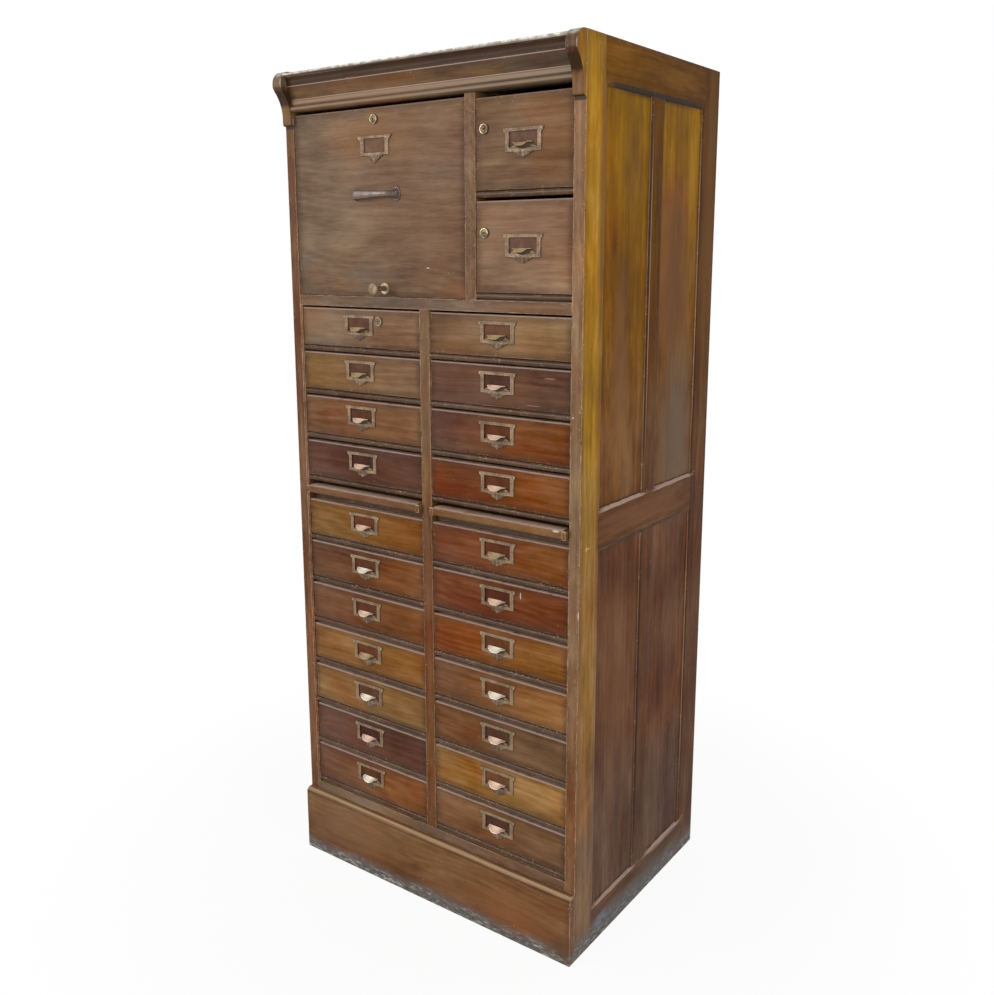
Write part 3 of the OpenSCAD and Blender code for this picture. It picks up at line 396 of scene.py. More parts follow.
@dataclass(frozen=True)
class Wood:
    """Stained and varnished wood. Its grain follows the attributes that Boards writes on each point."""

    name: str
    base: Tone
    washes: tuple[Wash, ...] = ()
    patches: tuple[Patch, ...] = ()
    streak: float = 0.3
    figure: float = 0.09
    fleck: float = 0.36
    cloud: float = 0.58
    pores: float = 0.5
    # A darker band along every arris of a board: partly grime, partly painted shade.
    edge_grime_and_shade: float = 0.3
    wear: float = 0.42
    wear_tone: Tone = Tone.PINK
    wear_width: float = 0.0014
    # Painted highlight: a pale line under the top arris, where the rounded top catches the light.
    top_highlight: float = 0.0
    nicks: float = 0.6
    scuffed: float = 0.0
    roughness: float = 0.4
    gloss: float = 0.075
    saturation: float = 1.06
    depth: float = 0.82

    def material(self) -> Material:
        """Builds the material.

        Returns:
            The material, ready to be put on a piece.
        """
        material, tree = shader_tree(self.name)
        grain = tree.attribute("grain")
        place = tree.object_place()
        seed = tree.attribute("board", "Fac")
        edge = self._edge_distance(tree, place)

        bend = tree.noise(grain.scaled(2.6, 8.0, 8.0), 1.0, 3.0)
        across = grain.parts()[1] + (bend - 0.5) * 0.03
        streaks = tree.noise(self._stretched(tree, grain, across, 2.6, 95.0), 1.0, 4.0, 0.62)
        fibres = tree.noise(self._stretched(tree, grain, across, 22.0, 800.0), 1.0, 2.0, 0.6)
        flecks = tree.noise(self._stretched(tree, grain, across, 30.0, 210.0), 1.0, 3.0, 0.6)
        rings = self._rings(tree, grain, across, seed)
        clouds = tree.noise(place, 6.0, 3.0, 0.55)
        blotch = tree.noise(grain.scaled(5.5, 12.0, 12.0), 1.0, 3.0, 0.6)

        colour = self._tinted(tree, self._washed(tree, place, clouds), place, grain)
        light = (clouds - 0.5) * self.cloud + (blotch - 0.5) * (self.cloud * 1.3)
        light = light + (streaks - 0.5) * (self.streak * 1.8) + (rings - 0.5) * self.figure
        light = light + (flecks - 0.5) * self.fleck + (fibres - 0.5) * 0.2 + (seed - 0.5) * 0.06
        value = (light * 1.5 + 1.0).highest(0.3) * self.depth
        colour = tree.node("ShaderNodeHueSaturation", {}, {
            "Color": colour, "Value": value, "Saturation": self.saturation - light * 0.4,
            "Hue": 0.5 + (blotch - 0.5) * 0.035,
        })
        pore = fibres.ramp(0.38, 0.28) * streaks.ramp(0.42, 0.58)
        colour = tree.mix(pore * self.pores, colour, Tone.SOOT_AND_SHADE.value)
        colour = self._worn(tree, colour, grain, place, edge)
        for patch in self.patches:
            colour = self._patched(tree, colour, place, patch)

        dents = tree.noise(place, 60.0, 2.0)
        rough = self.roughness + (clouds - 0.5) * 0.2 + (fibres - 0.5) * 0.12 + edge.ramp(0.004, 0.0) * 0.08
        height = fibres * 0.35 + streaks * 0.5 + dents * 0.9
        finish_surface(tree, {
            "Base Color": colour, "Roughness": rough, "Normal": tree.bump(height, 0.00035, 0.5),
            "Specular IOR Level": self.gloss,
        })
        return material

    @staticmethod
    def _tinted(tree: Tree, colour: Wire, place: Wire, grain: Wire) -> Wire:
        """The colour with the warm and cool drifts of uneven stain."""
        warm = tree.noise(place.moved(5.0, 2.0, 8.0), 5.0, 3.0, 0.6)
        cool = tree.noise(grain.scaled(3.0, 9.0, 9.0).moved(1.0, 7.0, 3.0), 1.0, 3.0, 0.6)
        colour = tree.mix(warm.ramp(0.46, 0.7) * 0.8, colour, WARM, "MULTIPLY")
        return tree.mix(cool.ramp(0.46, 0.7) * 0.8, colour, COOL, "MULTIPLY")

    @staticmethod
    def _stretched(tree: Tree, grain: Wire, across: Wire, along_scale: float, across_scale: float) -> Wire:
        """Coordinates stretched along the grain, in noise cells."""
        along, _, thick = grain.parts()
        return tree.combined(along * along_scale, across * across_scale, thick * across_scale)

    @staticmethod
    def _rings(tree: Tree, grain: Wire, across: Wire, seed: Wire) -> Wire:
        """Growth rings, cut so that they run in long arches over the board."""
        along, _, thick = grain.parts()
        arch = tree.noise(grain.scaled(1.3, 4.5, 4.5), 1.0, 2.0, 0.6) * 13.0
        phase = across * 40.0 + along * 0.8 + thick * 30.0 + arch + seed * 17.0
        return ((phase * (2 * math.pi)).math("SINE") * 0.5 + 0.5) ** 1.6

    @staticmethod
    def _edge_distance(tree: Tree, place: Wire) -> Wire:
        """Distance to the nearest arris of the board that the point is on."""
        low, high = tree.attribute("low"), tree.attribute("high")
        gaps = []
        for p, a, b in zip(place.parts(), low.parts(), high.parts()):
            gaps.append((p - a).lowest(b - p))
        x, y, z = gaps
        return x.lowest(y).highest(x.highest(y).lowest(z))

    def _washed(self, tree: Tree, place: Wire, clouds: Wire) -> Union[Wire, Colour]:
        """The base tone under its washes."""
        colour: Union[Wire, Colour] = self.base.value
        parts = place.parts()
        for wash in self.washes:
            span = wash.end - wash.start
            where = parts[wash.axis.value] + (clouds - 0.5) * (abs(span) * wash.ragged * 2)
            colour = tree.mix(where.ramp(wash.start, wash.end) * wash.amount, colour, wash.tone.value)
        if isinstance(colour, Wire):
            return colour
        return tree.mix(0.0, colour, colour)

    @staticmethod
    def _patched(tree: Tree, colour: Wire, place: Wire, patch: Patch) -> Wire:
        """The colour with one patch over it."""
        centred = place.moved(*(-c for c in patch.centre)).scaled(*(1 / r for r in patch.radii))
        if patch.boxed:
            x, y, z = (part.math("ABSOLUTE") for part in centred.parts())
            length = x.highest(y).highest(z)
        else:
            length = tree.node("ShaderNodeVectorMath", {"operation": "LENGTH"}, {0: centred}, "Value")
        rag = tree.noise(centred, 2.5, 3.0, 0.65)
        mask = (length + (rag - 0.5) * (2 * patch.ragged)).ramp(1.0, patch.core)
        if patch.flecks:
            mask = mask * tree.noise(place, patch.flecks, 4.0, 0.7).ramp(0.42, 0.58)
        return tree.mix(mask * patch.amount, colour, patch.tone.value)

    def _worn(self, tree: Tree, colour: Wire, grain: Wire, place: Wire, edge: Wire) -> Wire:
        """The colour with rubbed arrises, nicks, a darker band behind them that is partly grime and partly
        painted shade, and, where set, a painted highlight under the top arris.
        """
        patchy = tree.noise(place, 34.0, 3.0, 0.65)
        fine = tree.noise(place, 420.0, 2.0, 0.6)
        # Darker near every arris: partly grime, partly painted shade.
        edge_grime_and_shade = (edge + (patchy - 0.5) * 0.012).ramp(0.018, 0.001) * self.edge_grime_and_shade
        colour = tree.mix(edge_grime_and_shade, colour, Tone.SOOT_AND_SHADE.value)
        rub = (edge + (patchy - 0.42) * (self.wear_width * 3.2)).ramp(self.wear_width, 0.0)
        colour = tree.mix(rub * self.wear, colour, self.wear_tone.value)
        # Painted highlight along the top arris.
        if self.top_highlight:
            under_top = tree.attribute("high").parts()[2] - place.parts()[2]
            lit = (under_top + (patchy - 0.5) * 0.004).ramp(0.0038, 0.0008) * patchy.ramp(0.2, 0.5)
            colour = tree.mix(lit * self.top_highlight, colour, Tone.ROSE_GREY.value)
        if self.scuffed:
            colour = self._scuffed_foot(tree, colour, place)
        spots = fine.ramp(0.60, 0.66) * patchy.ramp(0.45, 0.58) * edge.ramp(0.009, 0.001)
        spots = spots + tree.noise(place, 260.0, 1.0).ramp(0.76, 0.80) * patchy.ramp(0.5, 0.6)
        scratch = tree.noise(grain.scaled(40.0, 700.0, 700.0).moved(3.1, 0.4, 1.7), 1.0, 1.0)
        lines = scratch.ramp(0.74, 0.78) * patchy.ramp(0.56, 0.66)
        return tree.mix((spots + lines * 0.6) * self.nicks, colour, Tone.CHIP.value)

    def _scuffed_foot(self, tree: Tree, colour: Wire, place: Wire) -> Wire:
        """The colour with the grime and the pale scrapes that shoes and mops leave near the floor."""
        low = place.parts()[2].ramp(self.scuffed, 0.0)
        broad = tree.noise(place, 11.0, 3.0, 0.6)
        fine = tree.noise(place.scaled(0.45, 0.45, 1.9), 80.0, 5.0, 0.72)
        speckle = tree.noise(place.moved(2.0, 5.0, 1.0).scaled(0.5, 0.5, 1.5), 120.0, 3.0, 0.7)
        ragged = low + (broad - 0.5) * 1.3 + (fine - 0.5) * 0.7
        grimy = ragged.ramp(0.0, 0.9) * low.ramp(0.0, 0.35)
        colour = tree.mix(grimy * 0.85, colour, Tone.GRIME.value)
        colour = tree.mix(speckle.ramp(0.54, 0.70) * grimy * 0.5, colour, Tone.SOOT_AND_SHADE.value)
        pale = tree.mix(fine.ramp(0.46, 0.66), Tone.SCUFF.value, Tone.DUST.value)
        scraped = speckle.ramp(0.52, 0.34) * ragged.ramp(0.3, 1.0) * low.ramp(0.05, 0.5) * 0.7
        return tree.mix(scraped, colour, pale)


@dataclass(frozen=True)
class Metal:
    """Metal with a patina in its hollows. The attribute "relief" is 1 on what hands have rubbed; its low
    values on the finger lip's right part and on the card frame's inner wall also paint shade.
    """

    name: str
    bright: Colour
    patina: Colour
    metallic: float = 0.75
    roughness: float = 0.36
    tarnish: float = 0.5
    grain_scale: float = 260.0
    relief: bool = True
    gloss: float = 0.5

    def material(self) -> Material:
        """Builds the material.

        Returns:
            The material, ready to be put on a piece.
        """
        material, tree = shader_tree(self.name)
        place = tree.object_place()
        spots = tree.noise(place, self.grain_scale, 4.0, 0.6)
        broad = tree.noise(place, 55.0, 2.0)
        dull = (spots * 0.6 + broad * 0.6).ramp(0.42, 0.78) * self.tarnish
        if self.relief:
            rubbed = tree.attribute("relief", "Fac")
            dull = (dull + (1.0 - rubbed) * 0.65).clamped()
        colour = tree.mix(dull, self.bright, self.patina)
        finish_surface(tree, {
            "Base Color": colour, "Metallic": self.metallic - dull * 0.35,
            "Roughness": self.roughness + dull * 0.28 + (spots - 0.5) * 0.1,
            "Normal": tree.bump(spots, 0.00012, 0.5), "Specular IOR Level": self.gloss,
        })
        return material


# ---------------------------------------------------------------------------------------------
# Meshes
# ---------------------------------------------------------------------------------------------


@dataclass
class Shape:
    """A closed shape: its points, its faces and how much each point is rubbed by hands, which on the finger
    lip and the card frame also paints shade.
    """

    points: list[Vector] = field(default_factory=list)
    faces: list[tuple[int, ...]] = field(default_factory=list)
    relief: list[float] = field(default_factory=list)

    def box(self) -> tuple[Vector, Vector]:
        """Lowest and highest corner of the shape."""
        low = Vector(min(p[i] for p in self.points) for i in range(3))
        high = Vector(max(p[i] for p in self.points) for i in range(3))
        return low, high

    def ease(self, width: float, most: int) -> float:
        """The width of its eased arrises: 0 for a shape with more points than most, which stays crisp."""
        return width if len(self.points) <= most else 0.0

    def ring(self, points: Iterable[Vector], relief: float) -> list[int]:
        """Adds points with the same relief and returns their indices."""
        start = len(self.points)
        self.points.extend(Vector(p) for p in points)
        self.relief.extend([relief] * (len(self.points) - start))
        return list(range(start, len(self.points)))

    def skin(self, rings: Sequence[Sequence[int]], closed: bool = True, wrapped: bool = False) -> None:
        """Joins rings of points by quads.

        Args:
            rings: indices of the points of each ring, all of one length.
            closed: whether a ring's last point joins its first.
            wrapped: whether the last ring joins the first.
        """
        pairs = list(zip(rings, rings[1:])) + ([(rings[-1], rings[0])] if wrapped else [])
        count = len(rings[0])
        for a, b in pairs:
            for i in range(count if closed else count - 1):
                j = (i + 1) % count
                self.faces.append((a[i], a[j], b[j], b[i]))

    def capped(self, rings: Sequence[Sequence[int]]) -> "Shape":
        """Joins the rings by quads, closes the first and the last one and returns the shape."""
        self.skin(rings)
        self.faces += [tuple(rings[0]), tuple(reversed(rings[-1]))]
        return self


def turns(count: int) -> list[float]:
    """Angles that divide a whole turn evenly, in radians."""
    return [2 * math.pi * k / count for k in range(count)]


def steps(count: int) -> list[float]:
    """Even shares from 0 to 1, both included."""
    return [k / (count - 1) for k in range(count)]


def signed_power(value: float, power: float) -> float:
    """A power of a number's size that keeps its sign."""
    return math.copysign(abs(value) ** power, value)


def solids_of(node: str) -> list[Shape]:
    """The solids of a CAD node as separate shapes whose flat faces are whole.

    Args:
        node: name of the node.

    Returns:
        One shape for each solid, in the order of the node's mesh.
    """
    mesh = bmesh.new()
    mesh.from_mesh(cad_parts[node].data)
    bmesh.ops.remove_doubles(mesh, verts=mesh.verts, dist=WELD_CAD)
    bmesh.ops.dissolve_limit(mesh, angle_limit=FLAT_ANGLE, verts=mesh.verts, edges=mesh.edges)
    mesh.verts.index_update()
    seen: set[int] = set()
    shapes = []
    for start in mesh.verts:
        if start.index in seen:
            continue
        seen.add(start.index)
        group, waiting = [], [start]
        while waiting:
            vert = waiting.pop()
            group.append(vert)
            for edge in vert.link_edges:
                other = edge.other_vert(vert)
                if other.index not in seen:
                    seen.add(other.index)
                    waiting.append(other)
        place = {vert.index: i for i, vert in enumerate(group)}
        faces = {face for vert in group for face in vert.link_faces}
        ordered = sorted(faces, key=lambda f: f.index)
        shapes.append(Shape(
            [vert.co.copy() for vert in group],
            [tuple(place[v.index] for v in face.verts) for face in ordered], [0.0] * len(group),
        ))
    mesh.free()
    return shapes


class Eased(Enum):
    """Which arrises of a board are eased."""

    ALL = "all"
    FRONT = "front"


class Boards:
    """Collects shapes into one mesh, eases their arrises and marks what the finishes read."""

    def __init__(self, name: str) -> None:
        """Starts an empty mesh whose boards take their grain from its name."""
        self.name = name
        self.mesh = bmesh.new()
        layers = self.mesh.verts.layers
        self.low = layers.float_vector.new("low")
        self.high = layers.float_vector.new("high")
        self.grain = layers.float_vector.new("grain")
        self.board = layers.float.new("board")
        self.relief = layers.float.new("relief")
        self.materials: list[Material] = []
        self.count = 0

    def add(
        self, shape: Shape, material: Material, ease: float = 0.0, along: Union[Axis, None] = None,
        facing: Union[Material, None] = None, eased: Eased = Eased.ALL, rounded_top: float = 0.0,
    ) -> None:
        """Adds one shape.

        Args:
            shape: the shape.
            material: its finish.
            ease: width of the eased arrises, 0 for none; see the known gap at _is_eased().
            along: direction of the grain; the longest one if it is None.
            facing: finish of the faces that look to the front, if it is another one.
            eased: which arrises are eased.
            rounded_top: radius of the upper front arris, 0 for none.
        """
        part = bmesh.new()
        relief = part.verts.layers.float.new("relief")
        verts = [part.verts.new(p) for p in shape.points]
        for vert, value in zip(verts, shape.relief):
            vert[relief] = value
        for face in shape.faces:
            if len(set(face)) == len(face):
                try:
                    part.faces.new([verts[i] for i in face])
                except ValueError:
                    LOG.debug("%s: a face was there already", self.name)
        low, high = shape.box()
        if rounded_top > 0.0:
            self._bevel(part, [
                e for e in part.edges if len(e.link_faces) == 2 and e.calc_length() > SHORTEST_EASED
                and all(v.co.y - low.y < FLUSH and high.z - v.co.z < FLUSH for v in e.verts)
            ], rounded_top, 4)
        if ease > 0.0:
            self._bevel(part, [e for e in part.edges if self._is_eased(e, low, high, eased)], ease, 2)
        self._take(part, shape, (material, facing or material), along)
        part.free()

    @staticmethod
    def _bevel(
        part: bmesh.types.BMesh, edges: Sequence[bmesh.types.BMEdge], width: float, segments: int
    ) -> None:
        """Rounds edges of a board."""
        bmesh.ops.bevel(
            part, geom=edges, offset=width, offset_type="OFFSET", segments=segments, profile=0.5,
            affect="EDGES", clamp_overlap=True,
        )

    @staticmethod
    def _is_eased(edge: bmesh.types.BMEdge, low: Vector, high: Vector, eased: Eased) -> bool:
        """Whether an edge of a board that fills a box gets eased.

        Known gap: faces that were just made have no normals before part.normal_update(), so the angle
        between them reads 0 and nearly every arris stays sharp.
        """
        if len(edge.link_faces) != 2 or abs(edge.calc_face_angle()) < SHARP_ANGLE:
            return False
        if eased is Eased.ALL:
            return edge.calc_length() > SHORTEST_EASED
        a, b = (v.co for v in edge.verts)
        if a.y - low.y > FLUSH or b.y - low.y > FLUSH:
            return False
        return any(
            abs(a[i] - end[i]) + abs(b[i] - end[i]) < 2 * FLUSH for i in (0, 2) for end in (low, high)
        )

    def _take(
        self, part: bmesh.types.BMesh, shape: Shape, materials: tuple[Material, Material],
        along: Union[Axis, None],
    ) -> None:
        """Copies a finished board into the mesh with its marks."""
        low, high = shape.box()
        size = high - low
        chance = _chance(self.name, self.count)
        self.count += 1
        main = along.value if along else max(range(3), key=lambda i: size[i])
        side = max((i for i in range(3) if i != main), key=lambda i: size[i])
        thick = 3 - main - side
        shift = Vector((_chance(self.name, self.count + k * 101) * 9.0 for k in range(3)))
        relief = part.verts.layers.float["relief"]
        for material in materials:
            if material not in self.materials:
                self.materials.append(material)
        other, front = (self.materials.index(material) for material in materials)
        part.normal_update()
        made = {}
        for vert in part.verts:
            new = self.mesh.verts.new(vert.co)
            new[self.low], new[self.high] = low, high
            new[self.grain] = Vector((vert.co[main], vert.co[side], vert.co[thick])) + shift
            new[self.board] = chance
            new[self.relief] = vert[relief]
            made[vert] = new
        for face in part.faces:
            new_face = self.mesh.faces.new([made[v] for v in face.verts])
            new_face.material_index = front if face.normal.y < -LOOKS_ALONG else other

    def repaint(self, material: Material, outward: bool) -> None:
        """Gives the upright faces that look out to a side, or in from it, another finish.

        Args:
            material: their finish.
            outward: whether the faces that look out get it.
        """
        if material not in self.materials:
            self.materials.append(material)
        self.mesh.normal_update()
        for face in self.mesh.faces:
            away = face.normal.x * face.calc_center_median().x > 0.0
            if abs(face.normal.x) > LOOKS_ALONG and away == outward:
                face.material_index = self.materials.index(material)

    def take_mesh(
        self, source: bpy.types.Mesh, material: Material, along: Union[Axis, None] = None
    ) -> None:
        """Adds a mesh that Geometry Nodes made."""
        part = bmesh.new()
        part.from_mesh(source)
        bmesh.ops.remove_doubles(part, verts=part.verts, dist=WELD_GROWN)
        part.verts.index_update()
        faces = [tuple(v.index for v in face.verts) for face in part.faces]
        shape = Shape([v.co.copy() for v in part.verts], faces, [0.0] * len(part.verts))
        part.free()
        self.add(shape, material, along=along)

    def finished(self, smooth_below: float = 28.0) -> bpy.types.Mesh:
        """The mesh with its materials; joints between faces that turn less than an angle are smooth."""
        bmesh.ops.recalc_face_normals(self.mesh, faces=self.mesh.faces)
        for face in self.mesh.faces:
            face.smooth = True
        made = bpy.data.meshes.new(self.name)
        self.mesh.to_mesh(made)
        self.mesh.free()
        made.set_sharp_from_angle(angle=math.radians(smooth_below))
        for material in self.materials:
            made.materials.append(material)
        return made


def _chance(name: str, number: int) -> float:
    """A fixed number from 0 to 1 for a name and a count."""
    total = number * 7919 + 17
    for i, letter in enumerate(name):
        total = (total * 31 + ord(letter) * (i + 3)) % 1000003
    return (total * 7727 % 10007) / 10007


def place_piece(
    mesh: bpy.types.Mesh, body: str, slot: str, replaces: Sequence[str] = ()
) -> bpy.types.Object:
    """Puts a finished mesh into the scene as a piece of the object.

    Args:
        mesh: the mesh, whose name the piece takes.
        body: CAD body that it rides on.
        slot: not used.
        replaces: CAD nodes that it stands for.

    Returns:
        The new object.
    """
    piece = bpy.data.objects.new(mesh.name, mesh)
    bpy.context.scene.collection.objects.link(piece)
    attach(piece, body)
    for node in replaces:
        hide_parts(node)
    LOG.info("%s: %d faces on %s", piece.name, len(mesh.polygons), body)
    return piece


# ---------------------------------------------------------------------------------------------
# Geometry Nodes
# ---------------------------------------------------------------------------------------------


class Growth:
    """A Geometry Nodes tree with named inputs that ends in Realize Instances and Set Material."""

    def __init__(self, name: str, inputs: Mapping[str, str]) -> None:
        """Makes the tree.

        Args:
            name: its name.
            inputs: socket type of each named input.
        """
        self.group = bpy.data.node_groups.new(name, "GeometryNodeTree")
        face = self.group.interface
        face.new_socket("Geometry", in_out="INPUT", socket_type="NodeSocketGeometry")
        for key, kind in {**inputs, "Material": "NodeSocketMaterial"}.items():
            face.new_socket(key, in_out="INPUT", socket_type=kind)
        face.new_socket("Geometry", in_out="OUTPUT", socket_type="NodeSocketGeometry")
        self.tree = Tree(self.group)
        self._start = self.tree.raw("NodeGroupInput", {}, {})

    def given(self, name: str) -> Wire:
        """The wire of a named input."""
        return Wire(self.tree, self._start.outputs[name])

    def end(self, geometry: Wire) -> None:
        """Realizes the geometry, gives it its material and ends the tree."""
        real = self.tree.node("GeometryNodeRealizeInstances", {}, {"Geometry": geometry})
        dressed = self.tree.node(
            "GeometryNodeSetMaterial", {}, {"Geometry": real, "Material": self.given("Material")}
        )
        self.tree.raw("NodeGroupOutput", {}, {"Geometry": dressed})

    def grown(self, seed_mesh: bpy.types.Mesh, values: Mapping[str, Any]) -> bpy.types.Mesh:
        """Runs the tree on a mesh.

        Args:
            seed_mesh: the mesh that the tree starts from.
            values: value of each named input.

        Returns:
            The result as a plain mesh.
        """
        carrier = bpy.data.objects.new("carrier", seed_mesh)
        bpy.context.scene.collection.objects.link(carrier)
        modifier = carrier.modifiers.new("growth", "NODES")
        modifier.node_group = self.group
        for item in self.group.interface.items_tree:
            if item.item_type == "SOCKET" and item.in_out == "INPUT" and item.name in values:
                modifier[item.identifier] = values[item.name]
        graph = bpy.context.evaluated_depsgraph_get()
        made = bpy.data.meshes.new_from_object(carrier.evaluated_get(graph))
        carrier.modifiers.clear()
        bpy.data.objects.remove(carrier)
        return made


def points_mesh(points: Iterable[Vector]) -> bpy.types.Mesh:
    """A mesh of loose points."""
    mesh = bpy.data.meshes.new("points")
    mesh.from_pydata([tuple(p) for p in points], [], [])
    return mesh


class ScrewHeads:
    """Slotted round-headed screws whose heads look along -Y, one at each point."""

    def __init__(self) -> None:
        """Builds the tree."""
        inputs = {
            "Radius": "NodeSocketFloat", "Height": "NodeSocketFloat", "Slot": "NodeSocketFloat",
            "Seed": "NodeSocketInt",
        }
        self.growth = Growth("screw heads", inputs)
        tree, given = self.growth.tree, self.growth.given
        ball = tree.node(
            "GeometryNodeMeshUVSphere", {}, {"Segments": 20, "Rings": 12, "Radius": given("Radius")}, "Mesh"
        )
        flat = tree.combined(1.0, 1.0, given("Height") / given("Radius"))
        dome = tree.node("GeometryNodeTransform", {}, {"Geometry": ball, "Scale": flat})
        slot_size = tree.combined(given("Radius") * 2.4, given("Slot"), given("Height"))
        bar = tree.node("GeometryNodeMeshCube", {}, {"Size": slot_size}, "Mesh")
        lift = tree.combined(0.0, 0.0, given("Height") * 1.05)
        raised = tree.node("GeometryNodeTransform", {}, {"Geometry": bar, "Translation": lift})
        head = tree.raw("GeometryNodeMeshBoolean", {"operation": "DIFFERENCE"}, {"Mesh 1": dome})
        tree.tree.links.new(raised.socket, head.inputs["Mesh 2"])
        turn = tree.node(
            "FunctionNodeRandomValue", {"data_type": "FLOAT"},
            {"Min_001": 0.0, "Max_001": math.pi, "Seed": given("Seed")}, "Value_001",
        )
        spin = tree.combined(math.pi / 2, turn, 0.0)
        placed = tree.node(
            "GeometryNodeInstanceOnPoints", {},
            {"Points": given("Geometry"), "Instance": Wire(tree, head.outputs["Mesh"]), "Rotation": spin},
        )
        self.growth.end(placed)

    def at(
        self, points: Iterable[Vector], radius: float, height: float, slot: float, seed: int,
        material: Material,
    ) -> bpy.types.Mesh:
        """Screw heads at the points.

        Args:
            points: middle of each head on its seat.
            radius: radius of a head.
            height: height of its dome.
            slot: width of its slot.
            seed: fixes how the slots are turned.
            material: finish of the heads.

        Returns:
            The heads as one mesh.
        """
        values = {"Radius": radius, "Height": height, "Slot": slot, "Seed": seed, "Material": material}
        return self.growth.grown(points_mesh(points), values)


class Mouldings:
    """A moulded section drawn along a straight line, with the slight wander of planed wood."""

    def __init__(self) -> None:
        """Builds the tree."""
        inputs = {
            "Start": "NodeSocketVector", "End": "NodeSocketVector", "Stations": "NodeSocketInt",
            "Wander": "NodeSocketFloat", "Seed": "NodeSocketFloat",
        }
        self.growth = Growth("mouldings", inputs)
        tree, given = self.growth.tree, self.growth.given
        ends = {"Start": given("Start"), "End": given("End")}
        line = tree.node("GeometryNodeCurvePrimitiveLine", {"mode": "POINTS"}, ends)
        stations = tree.node("GeometryNodeResampleCurve", {}, {"Curve": line, "Count": given("Stations")})
        section = tree.node("GeometryNodeMeshToCurve", {}, {"Mesh": given("Geometry")})
        swept = tree.node(
            "GeometryNodeCurveToMesh", {}, {"Curve": stations, "Profile Curve": section, "Fill Caps": True}
        )
        place = tree.node("GeometryNodeInputPosition", {}, {})
        cell = tree.combined(place.parts()[0] * 6.0, given("Seed"), 0.0)
        drift = tree.noise(cell, 1.0, 1.0) - 0.5
        shift = tree.combined(0.0, 0.0, drift * given("Wander"))
        bent = tree.node("GeometryNodeSetPosition", {}, {"Geometry": swept, "Offset": shift})
        self.growth.end(bent)

    def drawn(
        self, section: Sequence[Pair], start: float, end: float, seed: float,
        material: Material, wander: float = 0.0,
    ) -> bpy.types.Mesh:
        """A moulding along X.

        Args:
            section: its corners as Y and Z.
            start: X of its left end.
            end: X of its right end.
            seed: fixes its wander.
            material: its finish.
            wander: how far it strays up and down.

        Returns:
            The moulding as a closed mesh.
        """
        count = len(section)
        mesh = bpy.data.meshes.new("section")
        corners = [(-y, -z, 0.0) for y, z in section]
        mesh.from_pydata(corners, [(i, (i + 1) % count) for i in range(count)], [])
        values = {
            "Start": (start, 0.0, 0.0), "End": (end, 0.0, 0.0), "Seed": seed, "Wander": wander,
            "Stations": max(4, round((end - start) / 0.03)), "Material": material,
        }
        return self.growth.grown(mesh, values)


def section_of(shape: Shape) -> list[Pair]:
    """The end section of a solid drawn along X, as Y and Z."""
    low, _ = shape.box()
    ends = [f for f in shape.faces if all(abs(shape.points[i].x - low.x) < FLUSH for i in f)]
    longest = max(ends, key=len)
    return [(shape.points[i].y, shape.points[i].z) for i in longest]


def lathe(profile: Sequence[Pair], x: float, z: float, sides: int, relief: Sequence[float]) -> Shape:
    """A turned shape round an axis along Y.

    Args:
        profile: radius and Y of its points, the first and last on the axis.
        x: X of the axis.
        z: Z of the axis.
        sides: number of points round it.
        relief: how much each point of the profile is rubbed.

    Returns:
        The closed shape.
    """
    shape = Shape()
    rings = []
    for (radius, y), rubbed in list(zip(profile, relief))[1:-1]:
        rings.append(shape.ring(
            [Vector((x + radius * math.cos(a), y, z + radius * math.sin(a))) for a in turns(sides)], rubbed
        ))
    shape.skin(rings)
    for (_, y), ring, rubbed in ((profile[0], rings[0], relief[0]), (profile[-1], rings[-1], relief[-1])):
        pole = shape.ring([Vector((x, y, z))], rubbed)[0]
        shape.faces.extend((ring[k], ring[(k + 1) % sides], pole) for k in range(sides))
    return shape


def ring_bead(x: float, y: float, z: float, radius: float, thick: float) -> Shape:
    """A round bead bent to a ring round an axis along Y.

    Args:
        x: X of the axis.
        y: Y of the ring.
        z: Z of the axis.
        radius: radius of the ring.
        thick: radius of the bead.

    Returns:
        The closed shape.
    """
    shape = Shape()
    rings = []
    for turn in turns(48):
        points = []
        for around in turns(10):
            reach, out = radius + thick * math.cos(around), thick * math.sin(around)
            points.append(Vector((x + reach * math.cos(turn), y + out, z + reach * math.sin(turn))))
        rings.append(shape.ring(points, 0.6))
    shape.skin(rings, wrapped=True)
    return shape


# ---------------------------------------------------------------------------------------------
# Fittings
# ---------------------------------------------------------------------------------------------


